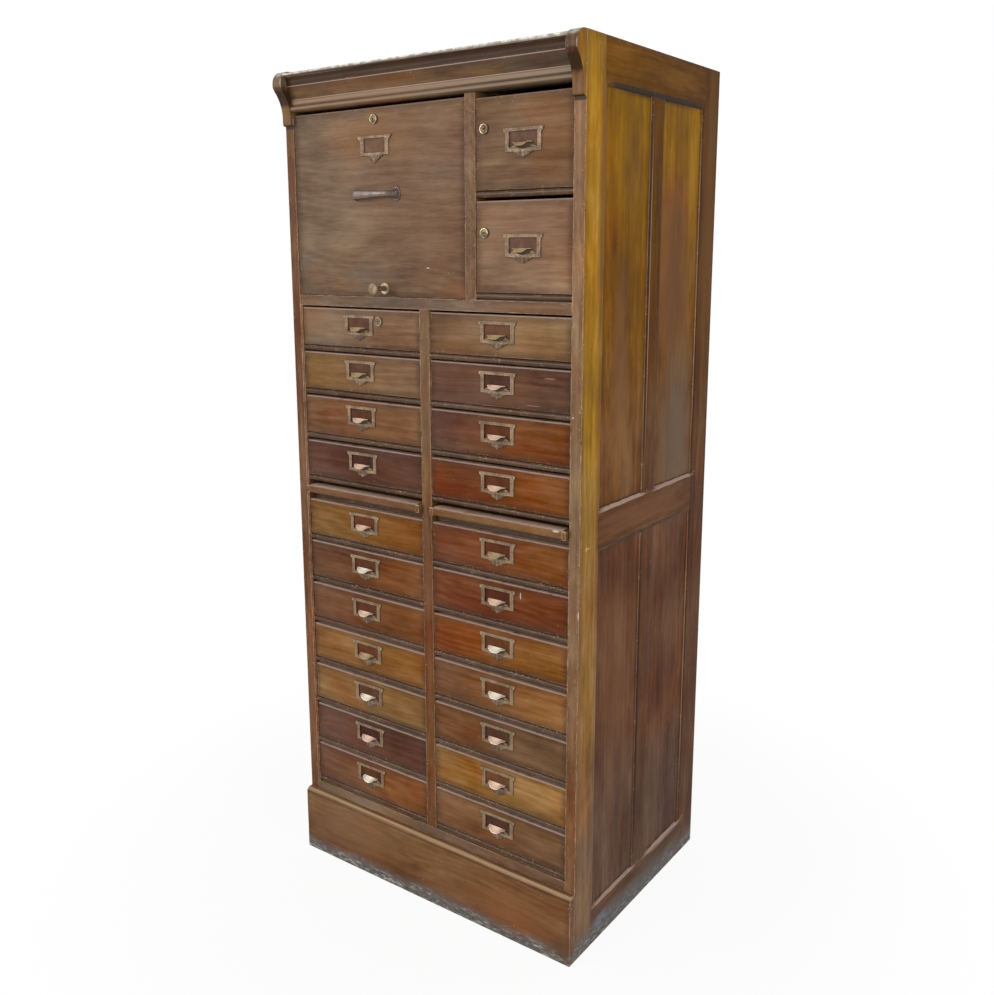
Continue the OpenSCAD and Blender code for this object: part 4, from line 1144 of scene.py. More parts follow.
@dataclass
class CardPlate:
    """Cast card frame with flared top corners, a leaf-shaped point and, on a pull, a lip over a bowl."""

    name: str
    body: str
    middle: float
    top: float
    finish: Material
    screw_finish: Material
    card_finish: Material
    lip_finish: Union[Material, None] = None
    bowl_finish: Union[Material, None] = None
    width: float = 0.080
    height: float = 0.043
    window: Pair = (0.063, 0.030)
    flare: float = 0.092
    flare_rise: float = 0.016
    point: float = 0.0125
    point_half: float = 0.0216
    seat: float = DRAWER_FACE
    thick: float = 0.0030

    def build(self, screws: ScrewHeads, replaces: Sequence[str]) -> bpy.types.Object:
        """Builds and places the plate.

        Args:
            screws: the tree that makes screw heads.
            replaces: CAD nodes that it stands for.

        Returns:
            The piece.
        """
        boards = Boards(self.name)
        boards.add(self.frame_shape(), self.finish)
        boards.add(self.card_shape(), self.card_finish)
        if self.lip_finish:
            boards.add(self.shoulder_shape(), self.finish)
            boards.add(self.lip_shape(), self.lip_finish)
            boards.add(self.bowl_shape(), self.bowl_finish)
        offset = self.width / 2 + (self.flare - self.width) * 0.15
        seat, level = self.seat - self.thick + 0.0003, self.top - 0.005
        seats = [Vector((self.middle + side * offset, seat, level)) for side in (-1, 1)]
        heads = screws.at(
            seats, radius=0.0021, height=0.0011, slot=0.0006, seed=round(self.top * 1000),
            material=self.screw_finish,
        )
        boards.take_mesh(heads, self.screw_finish)
        return place_piece(boards.finished(smooth_below=40.0), self.body, "brass", replaces)

    def outline(self, angle: float) -> Pair:
        """Point of the outer edge that lies in a direction from the middle of the frame."""
        dx, dz = math.cos(angle), math.sin(angle)
        low, high = 0.0, 0.08
        for _ in range(30):
            middle = (low + high) / 2
            if self._inside(dx * middle, dz * middle):
                low = middle
            else:
                high = middle
        return dx * low, dz * low

    def _inside(self, x: float, z: float) -> bool:
        """Whether a point, taken from the middle of the frame, lies on the plate or in its window."""
        down = self.height / 2 - z
        if down < 0.0:
            return False
        half = self.width / 2
        if down < self.flare_rise:
            share = 1.0 - down / self.flare_rise
            half += (self.flare / 2 - half) * (share ** 2 * 0.85 + 0.15 * (share > 0.8))
        if down <= self.height:
            return abs(x) <= half
        reach = abs(x) / self.point_half
        if reach >= 1.0:
            return False
        leaf = 0.22 + 0.78 * (1.0 - reach) ** 1.25 - 0.07 * math.sin(reach * 9.4)
        return down - self.height <= self.point * max(leaf, 0.0)

    def frame_shape(self) -> Shape:
        """The frame round the window with rounded bars."""
        half_w, half_h = self.window[0] / 2, self.window[1] / 2
        corners = [
            (half_w, half_h), (self.width / 2, self.height / 2 - self.flare_rise),
            (self.flare / 2, self.height / 2), (half_w, -half_h), (self.width / 2, -self.height / 2),
            (self.point_half, -self.height / 2),
        ]
        angles = set(turns(120))
        for x, z in corners:
            angles |= {math.atan2(z, x) % (2 * math.pi), math.atan2(z, -x) % (2 * math.pi)}
        # Share of the way in to the window, height and relief of each ring; the low relief on the inner wall
        # is partly less polish, partly painted shade in the recess.
        rows = (
            (0.0, 0.0, 0.3), (0.0, 0.62, 0.5), (0.03, 0.85, 0.9), (0.10, 1.0, 1.0), (0.3, 0.97, 0.85),
            (0.5, 0.92, 0.7), (0.7, 0.97, 0.85), (0.90, 1.0, 1.0), (0.97, 0.85, 0.9), (1.0, 0.5, 0.4),
            (1.0, 0.0, 0.0),
        )
        shape = Shape()
        rings: list[list[int]] = []
        for share, height, rubbed in rows:
            points = []
            for angle in sorted(angles):
                outer = self.outline(angle)
                dx, dz = math.cos(angle), math.sin(angle)
                inner_r = min(half_w / max(abs(dx), 1e-6), half_h / max(abs(dz), 1e-6))
                x = outer[0] * (1 - share) + dx * inner_r * share
                z = outer[1] * (1 - share) + dz * inner_r * share
                raised = height * self.thick + self._leaf_relief(x, z) * (height > 0.5)
                points.append(Vector((self.middle + x, self.seat - raised, self.top - self.height / 2 + z)))
            rings.append(shape.ring(points, rubbed))
        shape.skin(rings, wrapped=True)
        foot = self.top - self.height - 0.0006
        for index, point in enumerate(shape.points):
            if point.z < foot:
                rib = self._leaf_relief(point.x - self.middle, point.z - self.top + self.height / 2) / 0.0007
                shape.relief[index] = min(0.55 * rib, 1.0)
        return shape

    def _leaf_relief(self, x: float, z: float) -> float:
        """How far the leaf and its ribs stand out at a point of the plate."""
        below = -self.height / 2 - z
        if below < 0.0:
            return 0.0
        leaf = math.exp(-((x / 0.0035) ** 2)) + 0.7 * math.exp(-(((abs(x) - 0.009) / 0.003) ** 2))
        return 0.0007 * leaf * min(below / 0.003, 1.0)

    def card_shape(self) -> Shape:
        """The darkened card in the shallow tray that the frame makes round it; its thin walls line the tray
        in the card's dark finish as painted shade.
        """
        front = self.thick - 0.0006
        rows = ((0.0006, 0.0), (0.0006, front), (-0.0005, front), (-0.0005, 0.0004))
        shape = Shape()
        rings = []
        for grown, out in rows:
            half_w, half_h = self.window[0] / 2 + grown, self.window[1] / 2 + grown
            rings.append(shape.ring([
                Vector((self.middle + x * half_w, self.seat - out, self.top - self.height / 2 + z * half_h))
                for x, z in ((-1, -1), (1, -1), (1, 1), (-1, 1))
            ], 0.0))
        return shape.capped(rings)

    def shoulder_shape(self) -> Shape:
        """The part of the plate that rises from the window's lower corners to the ends of the lip."""
        half = self.window[0] / 2 + 0.0004
        right = [(half, -0.0008), (half, 0.0004), (0.0260, 0.0026), (0.0205, 0.0062), (0.0170, 0.0082)]
        outline = right + [(-x, z) for x, z in reversed(right)]
        base = self.top - self.height / 2 - self.window[1] / 2
        shape = Shape()
        rings = []
        for scale, out, rubbed in ((1.0, 0.0002, 0.2), (1.0, 0.0016, 0.6), (0.985, 0.0021, 0.9)):
            rings.append(shape.ring([
                Vector((self.middle + x * scale, self.seat - out, base + z * scale)) for x, z in outline
            ], rubbed))
        return shape.capped(rings)

    def lip_line(self, angle: float) -> tuple[Vector, Vector]:
        """Back and front of the finger lip at an angle, from the middle of the window's lower edge."""
        side, out = math.sin(angle), math.cos(angle)
        ear = min(side ** 2 / 0.65, 1.0)
        back = Vector((0.0202 * side, 0.0, 0.0100))
        rim = Vector((0.0208 * side, -0.0150 * out ** 0.8, 0.0034 + 0.0068 * ear * ear * (3 - 2 * ear)))
        return back, rim

    def _lip_rings(self, build: Callable[[float, Vector, Vector], list[tuple[Vector, float]]]) -> Shape:
        """A closed shape with one ring of points for each angle round the lip."""
        origin = Vector((self.middle, self.seat - 0.0015, self.top - self.height / 2 - self.window[1] / 2))
        columns = 28
        shape = Shape()
        rings = []
        for k in range(columns + 1):
            angle = math.radians(-88 + 176 * k / columns)
            ring = []
            for point, rubbed in build(angle, *self.lip_line(angle)):
                ring += shape.ring([point + origin], rubbed)
            rings.append(ring)
        shape.skin(rings)
        shape.faces += [tuple(reversed(rings[0])), tuple(rings[-1])]
        return shape

    def lip_shape(self) -> Shape:
        """The finger lip, polished by use; its right part gets less relief, which paints shade on it."""
        def ring(angle: float, back: Vector, rim: Vector) -> list[tuple[Vector, float]]:
            """Points of the lip's upper face, its edge and its lower face."""
            side, out = math.sin(angle), math.cos(angle)
            # Relief falls towards the right end: partly less polish, partly painted shade on that side.
            turned = min(max((side - 0.1) / 0.6, 0.0), 1.0)
            dish = -0.0009 * out

            def at(share: float, behind: float, below: float) -> Vector:
                """Point of a face of the lip at a share of the way from its back to its rim."""
                dip = dish * math.sin(math.pi * share)
                return back.lerp(rim, share) + Vector((0.0, behind, dip - below))

            upper = [at(share, 0.0, 0.0) for share in steps(6)]
            edge = rim + Vector((0.0, -0.0005 * out, -0.0007))
            under = [at(share, 0.0004, 0.0014) for share in (0.97, 0.5, 0.0)]
            return [(p, 1.0 - 0.8 * turned) for p in upper] + [(edge, 1.0)] + [(p, 0.1) for p in under]
        return self._lip_rings(ring)

    def bowl_shape(self) -> Shape:
        """The bowl under the lip, which runs down to the point of the plate."""
        def ring(angle: float, back: Vector, rim: Vector) -> list[tuple[Vector, float]]:
            """Points of the bowl's outer face and of its flat back."""
            side, out = math.sin(angle), math.cos(angle)
            foot = Vector((0.0125 * side, 0.0004, -0.0020 - 0.0015 * out))
            start = back.lerp(rim, 0.92) + Vector((0.0, 0.0, -0.0024))
            outer = [
                start.lerp(foot, t) + Vector((0.0, 0.0012, 0.0004)) * (math.sin(math.pi * t ** 0.7) * out)
                for t in steps(9)
            ]
            halfway = foot.lerp(back, 0.5) + Vector((0.0, 0.0008, 0.0))
            return [(p, 0.0) for p in (*outer, halfway, back + Vector((0.0, 0.0004, -0.0030)))]
        return self._lip_rings(ring)


# Distance from the nearer foot, half height and half depth of the handle's bar: the left half stays
# broad beside its foot, the right one has a waist.
BROAD_HALF = (
    (0.0, 0.0120, 0.0086), (0.006, 0.0098, 0.0060), (0.014, 0.0094, 0.0046), (0.024, 0.0094, 0.0042),
    (0.032, 0.0090, 0.0043), (0.075, 0.0074, 0.0045),
)
WAISTED_HALF = (
    (0.0, 0.0125, 0.0090), (0.004, 0.0110, 0.0080), (0.009, 0.0078, 0.0060), (0.016, 0.0060, 0.0046),
    (0.030, 0.0056, 0.0040), (0.046, 0.0060, 0.0042), (0.060, 0.0068, 0.0044), (0.075, 0.0074, 0.0045),
)


@dataclass
class BarHandle:
    """Cast bar handle, broad beside its left rosette and waisted beside the right one."""

    middle: float = -0.12125
    height: float = 1.5705
    span: float = 0.110
    reach: float = 0.021
    bend: float = 0.017
    stations: int = 84
    sides: int = 28

    def build(
        self, finish: Material, screw_finish: Material, screws: ScrewHeads
    ) -> bpy.types.Object:
        """Builds and places the handle.

        Args:
            finish: finish of the casting.
            screw_finish: finish of its screws.
            screws: the tree that makes screw heads.

        Returns:
            The piece.
        """
        boards = Boards("file_drawer_handle_cast")
        boards.add(self.bar_shape(), finish)
        seats = []
        for side in (-1, 1):
            x = self.middle + side * self.span / 2
            size = 1.0 if side > 0 else 0.72
            boards.add(self.rosette_shape(x, size), finish)
            seats += [
                Vector((x, DRAWER_FACE - 0.0026, self.height + dz * size)) for dz in (-0.0112, 0.0112)
            ]
        heads = screws.at(seats, radius=0.0023, height=0.0012, slot=0.0006, seed=5, material=screw_finish)
        boards.take_mesh(heads, screw_finish)
        cast = boards.finished(smooth_below=50.0)
        return place_piece(cast, "file_drawer", "handle_iron", ["file_drawer_handle"])

    def path(self, share: float) -> tuple[Vector, Vector, float]:
        """Place, direction and distance from the nearer foot at a share of the handle's length."""
        post = self.reach - self.bend
        quarter = math.pi * self.bend / 2
        straight = self.span - 2 * self.bend
        total = 2 * (post + quarter) + straight
        far = share * total
        mirror = far > total / 2
        walk = total - far if mirror else far
        if walk < post:
            place, along = Vector((-self.span / 2, -walk, 0.0)), Vector((0.0, -1.0, 0.0))
        elif walk < post + quarter:
            turn = (walk - post) / self.bend
            centre = Vector((-self.span / 2 + self.bend, -post, 0.0))
            place = centre + Vector((-math.cos(turn), -math.sin(turn), 0.0)) * self.bend
            along = Vector((math.sin(turn), -math.cos(turn), 0.0))
        else:
            place = Vector((-self.span / 2 + self.bend + walk - post - quarter, -self.reach, 0.0))
            along = Vector((1.0, 0.0, 0.0))
        if mirror:
            place.x, along = -place.x, Vector((along.x, -along.y, 0.0))
        return place + Vector((self.middle, DRAWER_FACE, self.height)), along, walk

    @staticmethod
    def section(walk: float, broad: bool) -> Pair:
        """Half height and half depth of the bar.

        Args:
            walk: distance from the nearer foot.
            broad: whether that is the left foot, beside which the bar stays broad.

        Returns:
            The two halves.
        """
        stops = BROAD_HALF if broad else WAISTED_HALF
        for (a, tall_a, deep_a), (b, tall_b, deep_b) in zip(stops, stops[1:]):
            if walk <= b:
                t = (walk - a) / (b - a)
                t = t * t * (3 - 2 * t)
                return tall_a + (tall_b - tall_a) * t, deep_a + (deep_b - deep_a) * t
        return stops[-1][1], stops[-1][2]

    def bar_shape(self) -> Shape:
        """The bar with its two bent ends."""
        shape = Shape()
        rings = []
        for k in range(self.stations + 1):
            place, along, walk = self.path(k / self.stations)
            tall, deep = self.section(walk, k * 2 < self.stations)
            side = Vector((along.y, -along.x, 0.0))
            points = []
            for angle in turns(self.sides):
                out = signed_power(math.cos(angle), 0.85) * deep
                up = signed_power(math.sin(angle), 0.85) * tall
                points.append(place + side * out + Vector((0.0, 0.0, up)))
            rings.append(shape.ring(points, 0.35 + 0.65 * min(walk / 0.03, 1.0)))
        return shape.capped(rings)

    def rosette_shape(self, x: float, size: float) -> Shape:
        """The oval foot plate with a raised rim.

        Args:
            x: its middle.
            size: its share of the full size.

        Returns:
            The closed shape.
        """
        rows = (
            (1.0, 0.0, 0.1), (1.0, 0.0016, 0.4), (0.95, 0.0026, 0.9), (0.86, 0.0030, 1.0),
            (0.76, 0.0024, 0.3), (0.5, 0.0026, 0.3),
        )
        shape = Shape()
        rings = []
        for scale, out, rubbed in rows:
            rings.append(shape.ring([
                Vector((
                    x + 0.0100 * size * scale * signed_power(math.cos(a), 0.7), DRAWER_FACE - out,
                    self.height + 0.0140 * size * scale * signed_power(math.sin(a), 0.8),
                )) for a in turns(48)
            ], rubbed))
        return shape.capped(rings)


@dataclass
class GuideRod:
    """Rod that carries the follower in the file drawer, with its turned knob and its collar."""

    x: float = -0.102
    z: float = 1.379
    rod: float = 0.003
    knob: float = 0.012
    tip: float = -0.301
    tail: float = 0.256

    def build(self, brass: Material, steel: Material) -> bpy.types.Object:
        """Builds and places the rod.

        Args:
            brass: finish of the knob.
            steel: finish of the rod inside the drawer.

        Returns:
            The piece.
        """
        boards = Boards("guide_rod_turned")
        r, y = self.knob, self.tip
        profile = [
            (0.0, y + 0.0002), (r * 0.30, y + 0.0001), (r * 0.55, y), (r * 0.80, y + 0.0005),
            (r * 0.94, y + 0.0015), (r, y + 0.0031), (r, y + 0.0046), (r * 0.95, y + 0.0060),
            (r * 0.80, y + 0.0071), (r * 0.55, y + 0.0078), (r * 0.42, y + 0.0090), (r * 0.37, y + 0.0120),
            (r * 0.38, y + 0.0200), (r * 0.44, y + 0.0290), (r * 0.46, y + 0.0365), (self.rod, y + 0.0370),
            (self.rod, y + 0.0440), (0.0, y + 0.0441),
        ]
        relief = [0.7, 0.8, 0.9, 1.0, 1.0, 0.9, 0.6, 0.4, 0.2, 0.1, 0.1, 0.2, 0.3, 0.3, 0.2, 0.1, 0.1, 0.1]
        boards.add(lathe(profile, self.x, self.z, 56, relief), brass)
        start = y + 0.0442
        rod = [
            (0.0, start), (self.rod, start), (self.rod, self.tail - 0.001), (self.rod - 0.001, self.tail),
            (0.0, self.tail),
        ]
        boards.add(lathe(rod, self.x, self.z, 32, [0.3] * 5), steel)
        turned = boards.finished(smooth_below=35.0)
        return place_piece(turned, "file_drawer_guide_rod", "brass", ["file_drawer_guide_rod"])


# ---------------------------------------------------------------------------------------------
# Drawers and writing slides
# ---------------------------------------------------------------------------------------------


@dataclass(frozen=True)
class Workshop:
    """What every sub-assembly is made with."""

    screws: ScrewHeads
    mouldings: Mouldings
    brass: Material
    lip_sheens: Mapping[LipSheen, Material]
    bright_brass: Material
    screw: Material
    iron: Material
    steel: Material
    inner: Material
    bowl: Material
    plug: Material


@dataclass
class Drawer:
    """A drawer: its front, its dovetailed box and its card plate."""

    node: str
    left: Tone
    right: Tone
    marks: tuple[Patch, ...] = ()
    streak: float = 0.34
    # Painted highlight along the top arris of the front.
    top_highlight: float = 0.6
    depth: float = 0.84
    rounded_top: float = 0.003
    fleck: float = 0.34
    lip: LipSheen = LipSheen.BLUSH

    def front_finish(self) -> Material:
        """The finish of the front, which changes from its left to its right end."""
        low, high = (Vector(corner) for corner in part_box(self.node))
        span = high.x - low.x
        wash = Wash(self.right, Axis.X, low.x + span * 0.15, high.x - span * 0.15, 1.0, 0.35)
        # Painted light: low fronts are painted lighter and high ones darker, as low fronts get less of the
        # lamps' light.
        lift = (0.75 - low.z) * 0.11  # low fronts get less of the lamps' light
        return Wood(
            f"{self.node}_front", self.left, (wash,), self.marks, streak=self.streak, top_highlight=self.top_highlight,
            depth=self.depth + lift, fleck=self.fleck, edge_grime_and_shade=0.42,
        ).material()

    def card_finish(self, shares: Colour = (0.52, 0.42, 0.46)) -> Material:
        """The finish of the old card, a darker tone of the front; on the card's walls in the frame's recess
        it is painted shade.
        """
        bright = shaded(self.right, shares)
        worn = tuple(channel * 0.6 for channel in bright)
        return Metal(
            f"{self.node}_card", bright, worn, metallic=0.0, roughness=0.6, tarnish=0.7, grain_scale=60.0,
            relief=False, gloss=0.1,
        ).material()

    def add_lock_bead(self, boards: Boards, shop: Workshop) -> None:
        """Adds the polished bead that stands round the plug."""
        low, high = (Vector(corner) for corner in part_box(f"{self.node}_lock_plug"))
        x, z = (low.x + high.x) / 2, (low.z + high.z) / 2
        boards.add(ring_bead(x, DRAWER_FACE - 0.0030, z, radius=0.0083, thick=0.0013), shop.bright_brass)

    def build(self, shop: Workshop) -> None:
        """Builds the pieces that stand for the drawer's node."""
        front = Boards(f"{self.node}_front")
        box = Boards(f"{self.node}_box")
        case = Boards(f"{self.node}_lock_case")
        finish = self.front_finish()
        for shape in solids_of(self.node):
            low, high = shape.box()
            if low.y > DRAWER_FACE + 0.001:
                box.add(shape, shop.inner, shape.ease(0.0005, 60))
            elif high.x - low.x > FRONT_WIDTH:
                front.add(shape, finish, 0.0007, Axis.X, eased=Eased.FRONT, rounded_top=self.rounded_top)
            elif high.x - low.x < LOCK_WIDTH:
                case.add(shape, shop.bowl, 0.0003)
        place_piece(front.finished(), self.node, "front_wood", [self.node])
        place_piece(box.finished(), self.node, "raw_wood", [self.node])
        if case.count:
            self.add_lock_bead(case, shop)
            place_piece(case.finished(), self.node, "lock_brass", [self.node])


@dataclass
class CardDrawer(Drawer):
    """A shallow drawer with a card pull."""

    def build(self, shop: Workshop) -> None:
        """Builds the drawer and its pull."""
        super().build(shop)
        low, high = (Vector(corner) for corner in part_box(self.node))
        CardPlate(
            f"{self.node}_pull", self.node, (low.x + high.x) / 2, high.z - 0.0125, shop.brass, shop.screw,
            self.card_finish(), shop.lip_sheens[self.lip], shop.bowl,
        ).build(shop.screws, [self.node])


@dataclass
class BayDrawer(Drawer):
    """One of the two drawers in the right bay, whose fittings are a node of their own."""

    def build(self, shop: Workshop) -> None:
        """Builds the drawer, its pull and its lock."""
        super().build(shop)
        fittings = f"{self.node}_fittings"
        lock = Boards(f"{self.node}_lock")
        for shape in solids_of(fittings):
            low, high = shape.box()
            if high.x - low.x < PLATE_WIDTH:
                lock.add(shape, shop.bowl, 0.0003)
            else:
                CardPlate(
                    f"{self.node}_pull", self.node, (low.x + high.x) / 2, high.z, shop.brass, shop.screw,
                    self.card_finish((0.66, 0.62, 0.75)), shop.lip_sheens[self.lip], shop.bowl,
                ).build(shop.screws, [fittings])
        self.add_lock_bead(lock, shop)
        place_piece(lock.finished(), self.node, "lock_brass", [fittings])


@dataclass
class FileDrawer(Drawer):
    """The deep file drawer with its card holder, bar handle, lock and guide rod."""

    def build(self, shop: Workshop) -> None:
        """Builds the drawer and its fittings."""
        super().build(shop)
        fittings = "file_drawer_fittings"
        lock = Boards("file_drawer_lock")
        for shape in solids_of(fittings):
            low, high = shape.box()
            if high.x - low.x > PLATE_WIDTH:
                CardPlate(
                    "file_drawer_holder", self.node, (low.x + high.x) / 2, high.z, shop.brass, shop.screw,
                    self.card_finish((0.72, 0.72, 0.72)),
                    width=0.076, height=0.039, window=(0.057, 0.0285), flare=0.097, flare_rise=0.016,
                    point=0.017, point_half=0.0205,
                ).build(shop.screws, [fittings])
            else:
                collar = high.z < 1.5  # the guide rod's; the lock is near the top
                lock.add(shape, shop.screw if collar else shop.bowl, 0.0003)
        self.add_lock_bead(lock, shop)
        place_piece(lock.finished(), self.node, "lock_brass", [fittings])
        BarHandle().build(shop.iron, shop.screw, shop.screws)
        GuideRod().build(shop.brass, shop.steel)


@dataclass
class WritingSlide:
    """A pull-out writing slide with its batten ends and rounded nosing."""

    node: str
    finish: Material
    nosing: Material

    def build(self) -> None:
        """Builds the slide from its boards."""
        boards = Boards(f"{self.node}_boards")
        for shape in solids_of(self.node):
            low, high = shape.box()
            in_front = low.y < FRONT_PLANE and high.y - low.y < NOSING_DEPTH
            finish = self.nosing if in_front else self.finish
            boards.add(shape, finish, shape.ease(0.0007, 29), facing=self.nosing)
        place_piece(boards.finished(), self.node, "front_wood", [self.node])


# ---------------------------------------------------------------------------------------------
# Case
# ---------------------------------------------------------------------------------------------


@dataclass
class Joinery:
    """Boards of the case that need no more than a finish."""

    node: str
    finish: Material
    front: Union[Material, None] = None
    slot: str = "case_wood"
    ease: float = 0.0008
    outer: Union[Material, None] = None
    inner: Union[Material, None] = None

    def build(self) -> None:
        """Builds one piece from the node's solids."""
        boards = Boards(f"{self.node}_wood")
        for shape in solids_of(self.node):
            boards.add(shape, self.finish_for(shape), shape.ease(self.ease, 80), facing=self.front)
        if self.outer:
            boards.repaint(self.outer, True)
        if self.inner:
            boards.repaint(self.inner, False)
        place_piece(boards.finished(), CABINET, self.slot, [self.node])

    def finish_for(self, shape: Shape) -> Material:
        """Finish of one board."""
        return self.finish


@dataclass
class SideFrame(Joinery):
    """A side's frame, whose front stile has faded to a yellower brown than the rest."""

    stile: Union[Material, None] = None

    def finish_for(self, shape: Shape) -> Material:
        """Finish of one board: the front stile has its own."""
        low, _ = shape.box()
        return self.stile if self.stile and low.y < FRONT_PLANE + 0.001 else self.finish


@dataclass
class DrawnRails:
    """Rails and mouldings whose section is drawn along X, and the plain blocks of their node."""

    node: str
    finish: Material
    shop: Workshop
    wander: float = 0.0
    moulded_points: int = 18
    ease: float = 0.0006

    def build(self) -> None:
        """Builds the node's solids, the moulded ones from their sections."""
        boards = Boards(f"{self.node}_drawn")
        for shape in solids_of(self.node):
            low, high = shape.box()
            section = section_of(shape)
            if len(section) * 2 != len(shape.points) or len(section) * 2 < self.moulded_points:
                boards.add(shape, self.finish, self.ease)
                continue
            drawn = self.shop.mouldings.drawn(section, low.x, high.x, low.z * 40.0, self.finish, self.wander)
            boards.take_mesh(drawn, self.finish, Axis.X)
        place_piece(boards.finished(smooth_below=20.0), CABINET, "case_wood", [self.node])


# ---------------------------------------------------------------------------------------------
# Looks
# ---------------------------------------------------------------------------------------------


def streak_mark(
    x: float, z: float, width: float, height: float, tone: Tone = Tone.DUST, amount: float = 0.7
) -> Patch:
    """A small mark on a front."""
    return Patch(tone, (x, DRAWER_FACE, z), (width / 2, 0.02, height / 2), amount, 0.35)


def front_line(
    tone: Tone, place: Pair, reach: Pair, amount: float, ragged: float, core: float, flecks: float = 0.0
) -> Patch:
    """A line across the whole front. Its place and its reach to each side are given as Y and Z."""
    return Patch(tone, (0.0, *place), (1.0, *reach), amount, ragged, core, True, flecks)


def side_line(
    tone: Tone, place: Pair, reach: Pair, amount: float, ragged: float, core: float, deep: float = 0.012
) -> Patch:
    """A line on the right side's frame. Its place and its reach are given as Y and Z."""
    return Patch(tone, (SIDE_FACE - 0.002, *place), (deep, *reach), amount, ragged, core, True)


def panel_patch(tone: Tone, place: Pair, reach: Pair, amount: float, ragged: float, core: float) -> Patch:
    """A patch on the right side's panels. Its place and its reach are given as Y and Z."""
    return Patch(tone, (PANEL_FACE, *place), (0.05, *reach), amount, ragged, core)


BAY_DRAWERS = (
    FileDrawer("file_drawer", Tone.GREIGE, Tone.SAND, (
        Patch(Tone.BRONZE, (-0.10, DRAWER_FACE, 1.68), (0.16, 0.05, 0.06), 0.35, 0.6, 0.1),
        streak_mark(0.0137, 1.4217, 0.010, 0.003),
        Patch(Tone.COPPER, (0.10, DRAWER_FACE, 1.375), (0.07, 0.05, 0.04), 0.5, 0.5, 0.0),
    ), streak=0.18, fleck=0.42, depth=0.7, rounded_top=0.0015, top_highlight=0.3),
    BayDrawer(
        "upper_drawer", Tone.UMBER, Tone.UMBER, depth=0.80, rounded_top=0.0015, top_highlight=0.3, lip=LipSheen.DIM
    ),
    BayDrawer("middle_drawer", Tone.SAND, Tone.SAND, depth=0.87, top_highlight=0.5, lip=LipSheen.DIM),
)

SHALLOW_DRAWERS = (
    CardDrawer("left_drawer_1", Tone.GREIGE, Tone.SAND, (
        Patch(Tone.UMBER, (-0.30, DRAWER_FACE, 1.29), (0.09, 0.05, 0.05), 0.5, 0.5, 0.0),
    ), lip=LipSheen.DIM),
    CardDrawer("left_drawer_2", Tone.OLIVE, Tone.UMBER, lip=LipSheen.DIM),
    CardDrawer("left_drawer_3", Tone.COCOA, Tone.COCOA, depth=0.9),
    CardDrawer("left_drawer_4", Tone.PLUM, Tone.PLUM),
    CardDrawer("left_drawer_5", Tone.HONEY, Tone.AMBER),
    CardDrawer("left_drawer_6", Tone.SIENNA, Tone.RUST, depth=0.87, lip=LipSheen.CREAM),
    CardDrawer("left_drawer_7", Tone.SIENNA, Tone.RUST),
    CardDrawer("left_drawer_8", Tone.OLIVE, Tone.AMBER, lip=LipSheen.DIM),
    CardDrawer("left_drawer_9", Tone.OLIVE, Tone.OLIVE, depth=0.92, lip=LipSheen.CREAM),
    CardDrawer("left_drawer_10", Tone.PLUM, Tone.PLUM),
    CardDrawer("left_drawer_11", Tone.SIENNA, Tone.RUST, lip=LipSheen.CREAM),
    CardDrawer("right_drawer_1", Tone.UMBER, Tone.TAN, depth=0.8, lip=LipSheen.DIM),
    CardDrawer("right_drawer_2", Tone.DUSK, Tone.DUSK, (
        streak_mark(0.308, 1.217, 0.030, 0.002, Tone.CHIP, 0.5),
        streak_mark(0.270, 1.162, 0.042, 0.0018, Tone.CHIP, 0.4),
    )),
    CardDrawer("right_drawer_3", Tone.PLUM, Tone.COPPER),
    CardDrawer("right_drawer_4", Tone.RUSSET, Tone.COPPER, depth=0.87),
    CardDrawer("right_drawer_5", Tone.RUSSET, Tone.COPPER, lip=LipSheen.DIM),
    CardDrawer("right_drawer_6", Tone.RUSSET, Tone.RUSSET, (streak_mark(0.242, 0.7725, 0.0035, 0.018),)),
    CardDrawer("right_drawer_7", Tone.COPPER, Tone.AMBER, lip=LipSheen.CREAM),
    CardDrawer("right_drawer_8", Tone.COCOA, Tone.AMBER, lip=LipSheen.CREAM),
    CardDrawer("right_drawer_9", Tone.COCOA, Tone.MOSS, depth=0.91),
    CardDrawer("right_drawer_10", Tone.HONEY, Tone.HONEY),
    CardDrawer("right_drawer_11", Tone.COCOA, Tone.MOSS, depth=0.9),
)


AGED_BRASS = Metal(
    "aged_brass", linear(148, 124, 96), linear(80, 58, 40), metallic=0.3, roughness=0.42, tarnish=0.7,
    gloss=0.35,
)
BRIGHT_BRASS = Metal(
    "bright_brass", linear(176, 158, 126), linear(74, 58, 40), metallic=0.8, roughness=0.24, tarnish=0.9,
    grain_scale=170.0, relief=False,
)
OLD_SCREWS = Metal(
    "old_screws", linear(170, 148, 116), linear(100, 82, 60), metallic=0.5, roughness=0.4, tarnish=0.5,
    relief=False,
)
CAST_GREY = Metal(
    "cast_grey", linear(116, 100, 92), linear(54, 42, 36), metallic=0.6, roughness=0.34, tarnish=0.45
)
# Dark brass of the bowls and the lock cases; on the bowls under each finger lip its darkness is partly
# painted shade.
DARK_BRASS = Metal(
    "dark_brass", linear(88, 70, 48), linear(48, 34, 24), metallic=0.25, roughness=0.5, tarnish=0.7,
    relief=False,
)
LOCK_PLUG = Metal(
    "lock_plug", linear(124, 104, 78), linear(40, 29, 20), metallic=0.3, roughness=0.4, tarnish=0.9,
    grain_scale=200.0, relief=False, gloss=0.2,
)
STEEL = Metal(
    "steel", linear(150, 146, 142), linear(90, 84, 78), metallic=0.85, roughness=0.35, tarnish=0.5,
    relief=False,
)
# Finishes of the finger lip: painted reflections of the light, from cream down to dim.
LIP_SHEENS = {
    lip: Metal(
        f"lip_{lip.name.lower()}", lip.value, linear(84, 66, 46), metallic=0.15, roughness=0.36, tarnish=0.12
    )
    for lip in LipSheen
}

